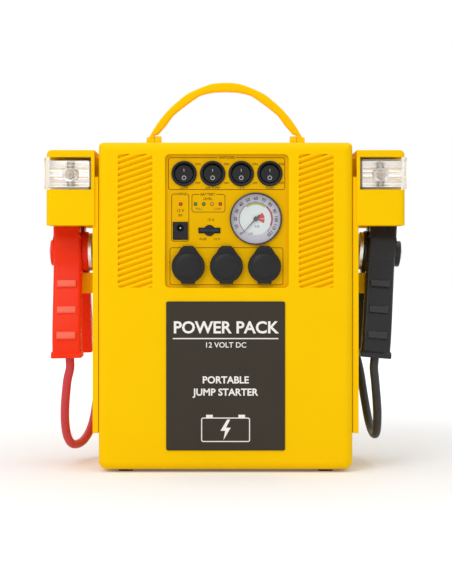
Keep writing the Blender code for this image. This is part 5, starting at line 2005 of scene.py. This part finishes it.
# ---- battery clamps ----
@dataclass
class BatteryClamp:
    """One parked battery clamp."""

    side: int
    hand: str
    finish: Finish
    # Finish of the finger pads, lighter than the lever's: a painted highlight.
    pad_highlight_finish: Finish
    out: float = 0.0
    slot: float = 0.0090
    hub_r: float = 0.019
    hub_half: float = 0.0195
    boss_r: float = 0.0122
    disc_r: float = 0.0176
    disc_t: float = 0.0036
    slot_r: float = 0.0198
    half_w: float = 0.0131
    jaw_step: float = 0.0015
    handle_end: float = -0.0965
    face_y: float = 0.0218
    slope: float = 0.32
    pad_z: Point3 = (-0.029, -0.053, -0.076)
    pad_size: Point3 = (0.0175, 0.0024, 0.0068)
    pivot_r: float = 0.0027
    jaw_z: Point2 = (0.0215, 0.0665)
    teeth: int = 14
    spring_r: float = 0.0044
    wire_r: float = 0.0009

    def place(self) -> Matrix:
        """Return the clamp's place about its pivot."""
        return (Matrix.Translation((self.side * CLAMP_X, 0, PIVOT_Z))
                @ Matrix.Rotation(CLAMP_TILT[self.side], 4, "Y"))

    def slab(self, outline: Sequence[Point2], start: float, end: float, radius: float) -> Object:
        """Make a plate along X from a side view, with rounded rims.

        Args:
            outline: Side view as (y, z).
            start: One end of it across.
            end: The other end.
            radius: Rounding of its rims.

        Returns:
            The plate, about the pivot.
        """
        way, rows = math.copysign(1, end - start), []
        for i in range(5):
            angle = math.pi / 2 * i / 4
            rows.append((inset(outline, radius * (1 - math.sin(angle))),
                         start + way * radius * (1 - math.cos(angle))))
        rows += [(line, start + end - along) for line, along in reversed(rows)]
        bm = bmesh.new()
        loft(bm, rows, Axis.X)
        return raw("slab", bm)

    def pads(self) -> BMesh:
        """Make the three raised finger pads.

        Returns:
            Their mesh, about the pivot.
        """
        bm = bmesh.new()
        lean = math.atan(self.slope)
        for z in self.pad_z:
            pad = bmesh.new()
            wide, thick, high = self.pad_size
            block(pad, (-wide / 2, -thick, -high / 2), (wide / 2, thick, high / 2))
            round_edges(pad, lambda mid, way: mid.y < 0, 0.0015, 4)
            at = (self.side * self.out, -(self.face_y - z * self.slope), z)
            stamp(bm, pad, Matrix.Translation(at) @ Matrix.Rotation(-lean, 4, "X"))
        return bm

    def barrel(self, radius: float, start: float, end: float) -> Object:
        """Make a hub barrel with an eased outer rim.

        Args:
            radius: Its radius.
            start: Its inner end.
            end: Its outer end.

        Returns:
            The barrel.
        """
        way = math.copysign(0.0008, end - start)
        bm = bmesh.new()
        turned(bm, [(0, start), (radius, start), (radius, end - way), (radius - 0.0003, end - way * 0.4),
                    (radius - 0.0008, end), (0, end)], Axis.X, steps=64)
        return raw("barrel", bm)

    def front(self) -> None:
        """Make the front half, with a pale disc on the hub's inner end."""
        node = f"{self.hand}_front_lever"
        out, end = self.side, self.handle_end
        near, far = -out * (self.half_w - self.out), out * (self.half_w + self.out)
        face = smooth_line([(-y, z, 0) for y, z in ((0.0225, 0.016), (0.0242, 0.002), (0.0252, -0.014),
                                                    (self.face_y + 0.045 * self.slope, -0.045),
                                                    (self.face_y + 0.075 * self.slope, -0.075),
                                                    (0.0478, end))], 0.004)
        inner = smooth_line([(-y, z, 0) for y, z in ((0.0305, end), (0.0290, -0.072), (0.0245, -0.050),
                                                     (0.0190, -0.033), (0.0130, -0.021), (0.0085, -0.0145),
                                                     (0.0080, 0.006))], 0.004)
        handle = self.slab([(p.x, p.y) for p in face + inner], near, far, 0.0032)
        jaw = [(-y, z) for y, z in ((0.0240, -0.004), (0.0238, 0.011), (0.0210, 0.021), (0.0185, 0.040),
                                    (0.0135, 0.056), (0.0080, 0.065), (0.0046, 0.067), (0.0046, 0.020),
                                    (0.0100, 0.011), (0.0100, -0.004))]
        cut(handle, self.slab(jaw, near + out * self.jaw_step, far - out * 0.0002, 0.0018), "UNION")
        collar = [(-0.0496, end), (-0.0496, end + 0.0042), (-0.0470, end + 0.0062), (-0.0300, end + 0.0062),
                  (-0.0292, end + 0.0042), (-0.0292, end)]
        cut(handle, self.slab(collar, near - out * 0.0009, far + out * 0.0009, 0.0012), "UNION")
        cut(handle, self.barrel(self.hub_r, 0.0, -out * (self.hub_half - self.disc_t)), "UNION")
        cut(handle, self.barrel(self.boss_r, 0.0, out * self.hub_half), "UNION")
        for name, r, half, steps in (("slot_tool", self.slot_r, self.slot, 64),
                                     ("pin_tool", self.pivot_r + 0.0004, 0.03, 32)):
            bm = bmesh.new()
            turned(bm, [(0, -half), (r, -half), (r, half), (0, half)], Axis.X, steps=steps)
            cut(handle, raw(name, bm))
        handle.data.transform(self.place())
        handle.name = f"{self.hand}_front_half"
        dress(handle, self.finish, node, angle=34)
        # The pads are dressed lighter than the lever: a painted highlight.
        dress(raw(f"{self.hand}_finger_pads", self.pads(), self.place()), self.pad_highlight_finish, node, stands=False)
        bm = bmesh.new()
        start, outer, r = -out * (self.hub_half - self.disc_t), -out * (self.hub_half + 0.0002), self.disc_r
        step, hole = -out * 0.0008, self.pivot_r + 0.0005
        turned(bm, [(hole, start), (r - 0.0003, start), (r, start + step * 0.4), (r, outer - step * 0.6),
                    (r - 0.0006, outer), (r * 0.62, outer), (r * 0.58, outer - step * 2),
                    (hole, outer - step * 2)], Axis.X, steps=64, ring=True)
        dress(raw(f"{self.hand}_hub_disc", bm, self.place()), HUB_STEEL, node, stands=False)

    def rear(self) -> None:
        """Make the rear half."""
        node = f"{self.hand}_rear_lever"
        piece = soften(copy_of(node, f"{self.hand}_rear_half"), 0.0006, 2)
        dress(piece, self.finish, node, angle=28)

    def jaws(self) -> None:
        """Make the toothed copper contacts."""
        z0, z1 = self.jaw_z
        back, tip, tooth, half = 0.0043, GAP, 0.0011, 0.0085
        for way, word in ((-1, "front"), (1, "rear")):
            pitch, gum, root = (z1 - z0) / self.teeth, way * (tip + tooth), way * (tip + tooth + 0.0002)
            bm = bmesh.new()
            prism(bm, [(way * back, z0), (way * back, z1), (gum, z1), (gum, z0)], Axis.X, -half, half, 0.0003)
            plate = raw("plate", bm)
            bm = bmesh.new()
            prism(bm, [(root, -pitch / 2), (way * tip, 0.0), (root, pitch / 2)], Axis.X, 0.0002 - half,
                  half - 0.0002)
            row = raw("tooth", bm)
            Row(self.teeth, start=(0.0, 0.0, z0 + pitch / 2), step=(0.0, 0.0, pitch)).apply(row, COPPER)
            node = f"{self.hand}_{word}_jaw"
            dress(raw(f"{self.hand}_{word}_contact", gathered([plate, row]), self.place()), COPPER, node)

    def fittings(self) -> None:
        """Make the spring and the rivet."""
        length, node = 0.0060, f"{self.hand}_spring"
        along = self.place() @ Matrix.Rotation(math.pi / 2, 4, "Y") @ Matrix.Translation((0, 0, -length / 2))
        spring = Coil(3.0, self.spring_r, length, self.wire_r).apply(f"{self.hand}_coil", STEEL, along)
        dress(spring, STEEL, node)
        half, head, thick = self.hub_half + GAP, 0.006, 0.0017
        bm = bmesh.new()
        end = half + thick
        side = [(self.pivot_r, half), (head, half), (head, half + 0.0004), (head * 0.9, end - 0.0005),
                (head * 0.6, end), (0, end)]
        turned(bm, [(r, -along) for r, along in reversed(side)] + side, Axis.X, steps=40)
        node = f"{self.hand}_pivot_pin"
        dress(raw(f"{self.hand}_rivet", bm, self.place()), STEEL, node)

    def build(self) -> None:
        """Make the clamp."""
        self.front()
        self.rear()
        self.jaws()
        self.fittings()


def dress_inside() -> None:
    """Give the frame's own nodes that stay in view, or inside, their finishes."""
    for node, finish in (("battery", BATTERY), ("compressor", MOTOR), ("circuit_board", BOARD),
                         ("control_panel", PANEL_YELLOW)):
        obj = frame["nodes"][node]
        for place in obj.material_slots:
            place.link = "OBJECT"
            place.material = finish.build()
        log.info("node %s in %s", node, finish.name)


def main() -> None:
    """Build the studio and every piece, cords first."""
    Studio().build()
    drops = {-1: ((0.0303, -0.0375, 0.080), (0.0332, -0.030, 0.052), (0.0330, -0.016, 0.030),
                  (0.0290, 0.001, 0.0185), (0.0215, 0.024, 0.019), (0.0150, 0.044, 0.032),
                  (0.0110, 0.0530, 0.058), (0.0080, 0.0560, 0.095)),
             1: ((0.0225, -0.036, 0.078), (0.0250, -0.029, 0.052), (0.0255, -0.015, 0.032),
                 (0.0245, 0.006, 0.0285), (0.0225, 0.028, 0.038), (0.0200, 0.044, 0.058),
                 (0.0165, 0.0545, 0.085), (0.0100, 0.0580, 0.113))}
    jackets = {-1: RED_JACKET, 1: BLACK_JACKET}
    for side, _, hand in SIDES:
        Lead(side, hand, jackets[side], drops[side]).build()
    Case().build()
    Label().build()
    ControlPanel().build()
    Gauge().build()
    for side, word, hand in SIDES:
        SideLamp(side, word).build()
        # Each clamp's moulding finish, and its lighter pad finish as a painted highlight.
        looks, offset = ((RED, RED_PAD_HIGHLIGHT), 0.0022) if side < 0 else ((BLACK, BLACK_PAD_HIGHLIGHT), 0.0)
        BatteryClamp(side, hand, *looks, offset).build()
    CarryHandle().build()
    dress_inside()


if __name__ == "__main__":
    main()
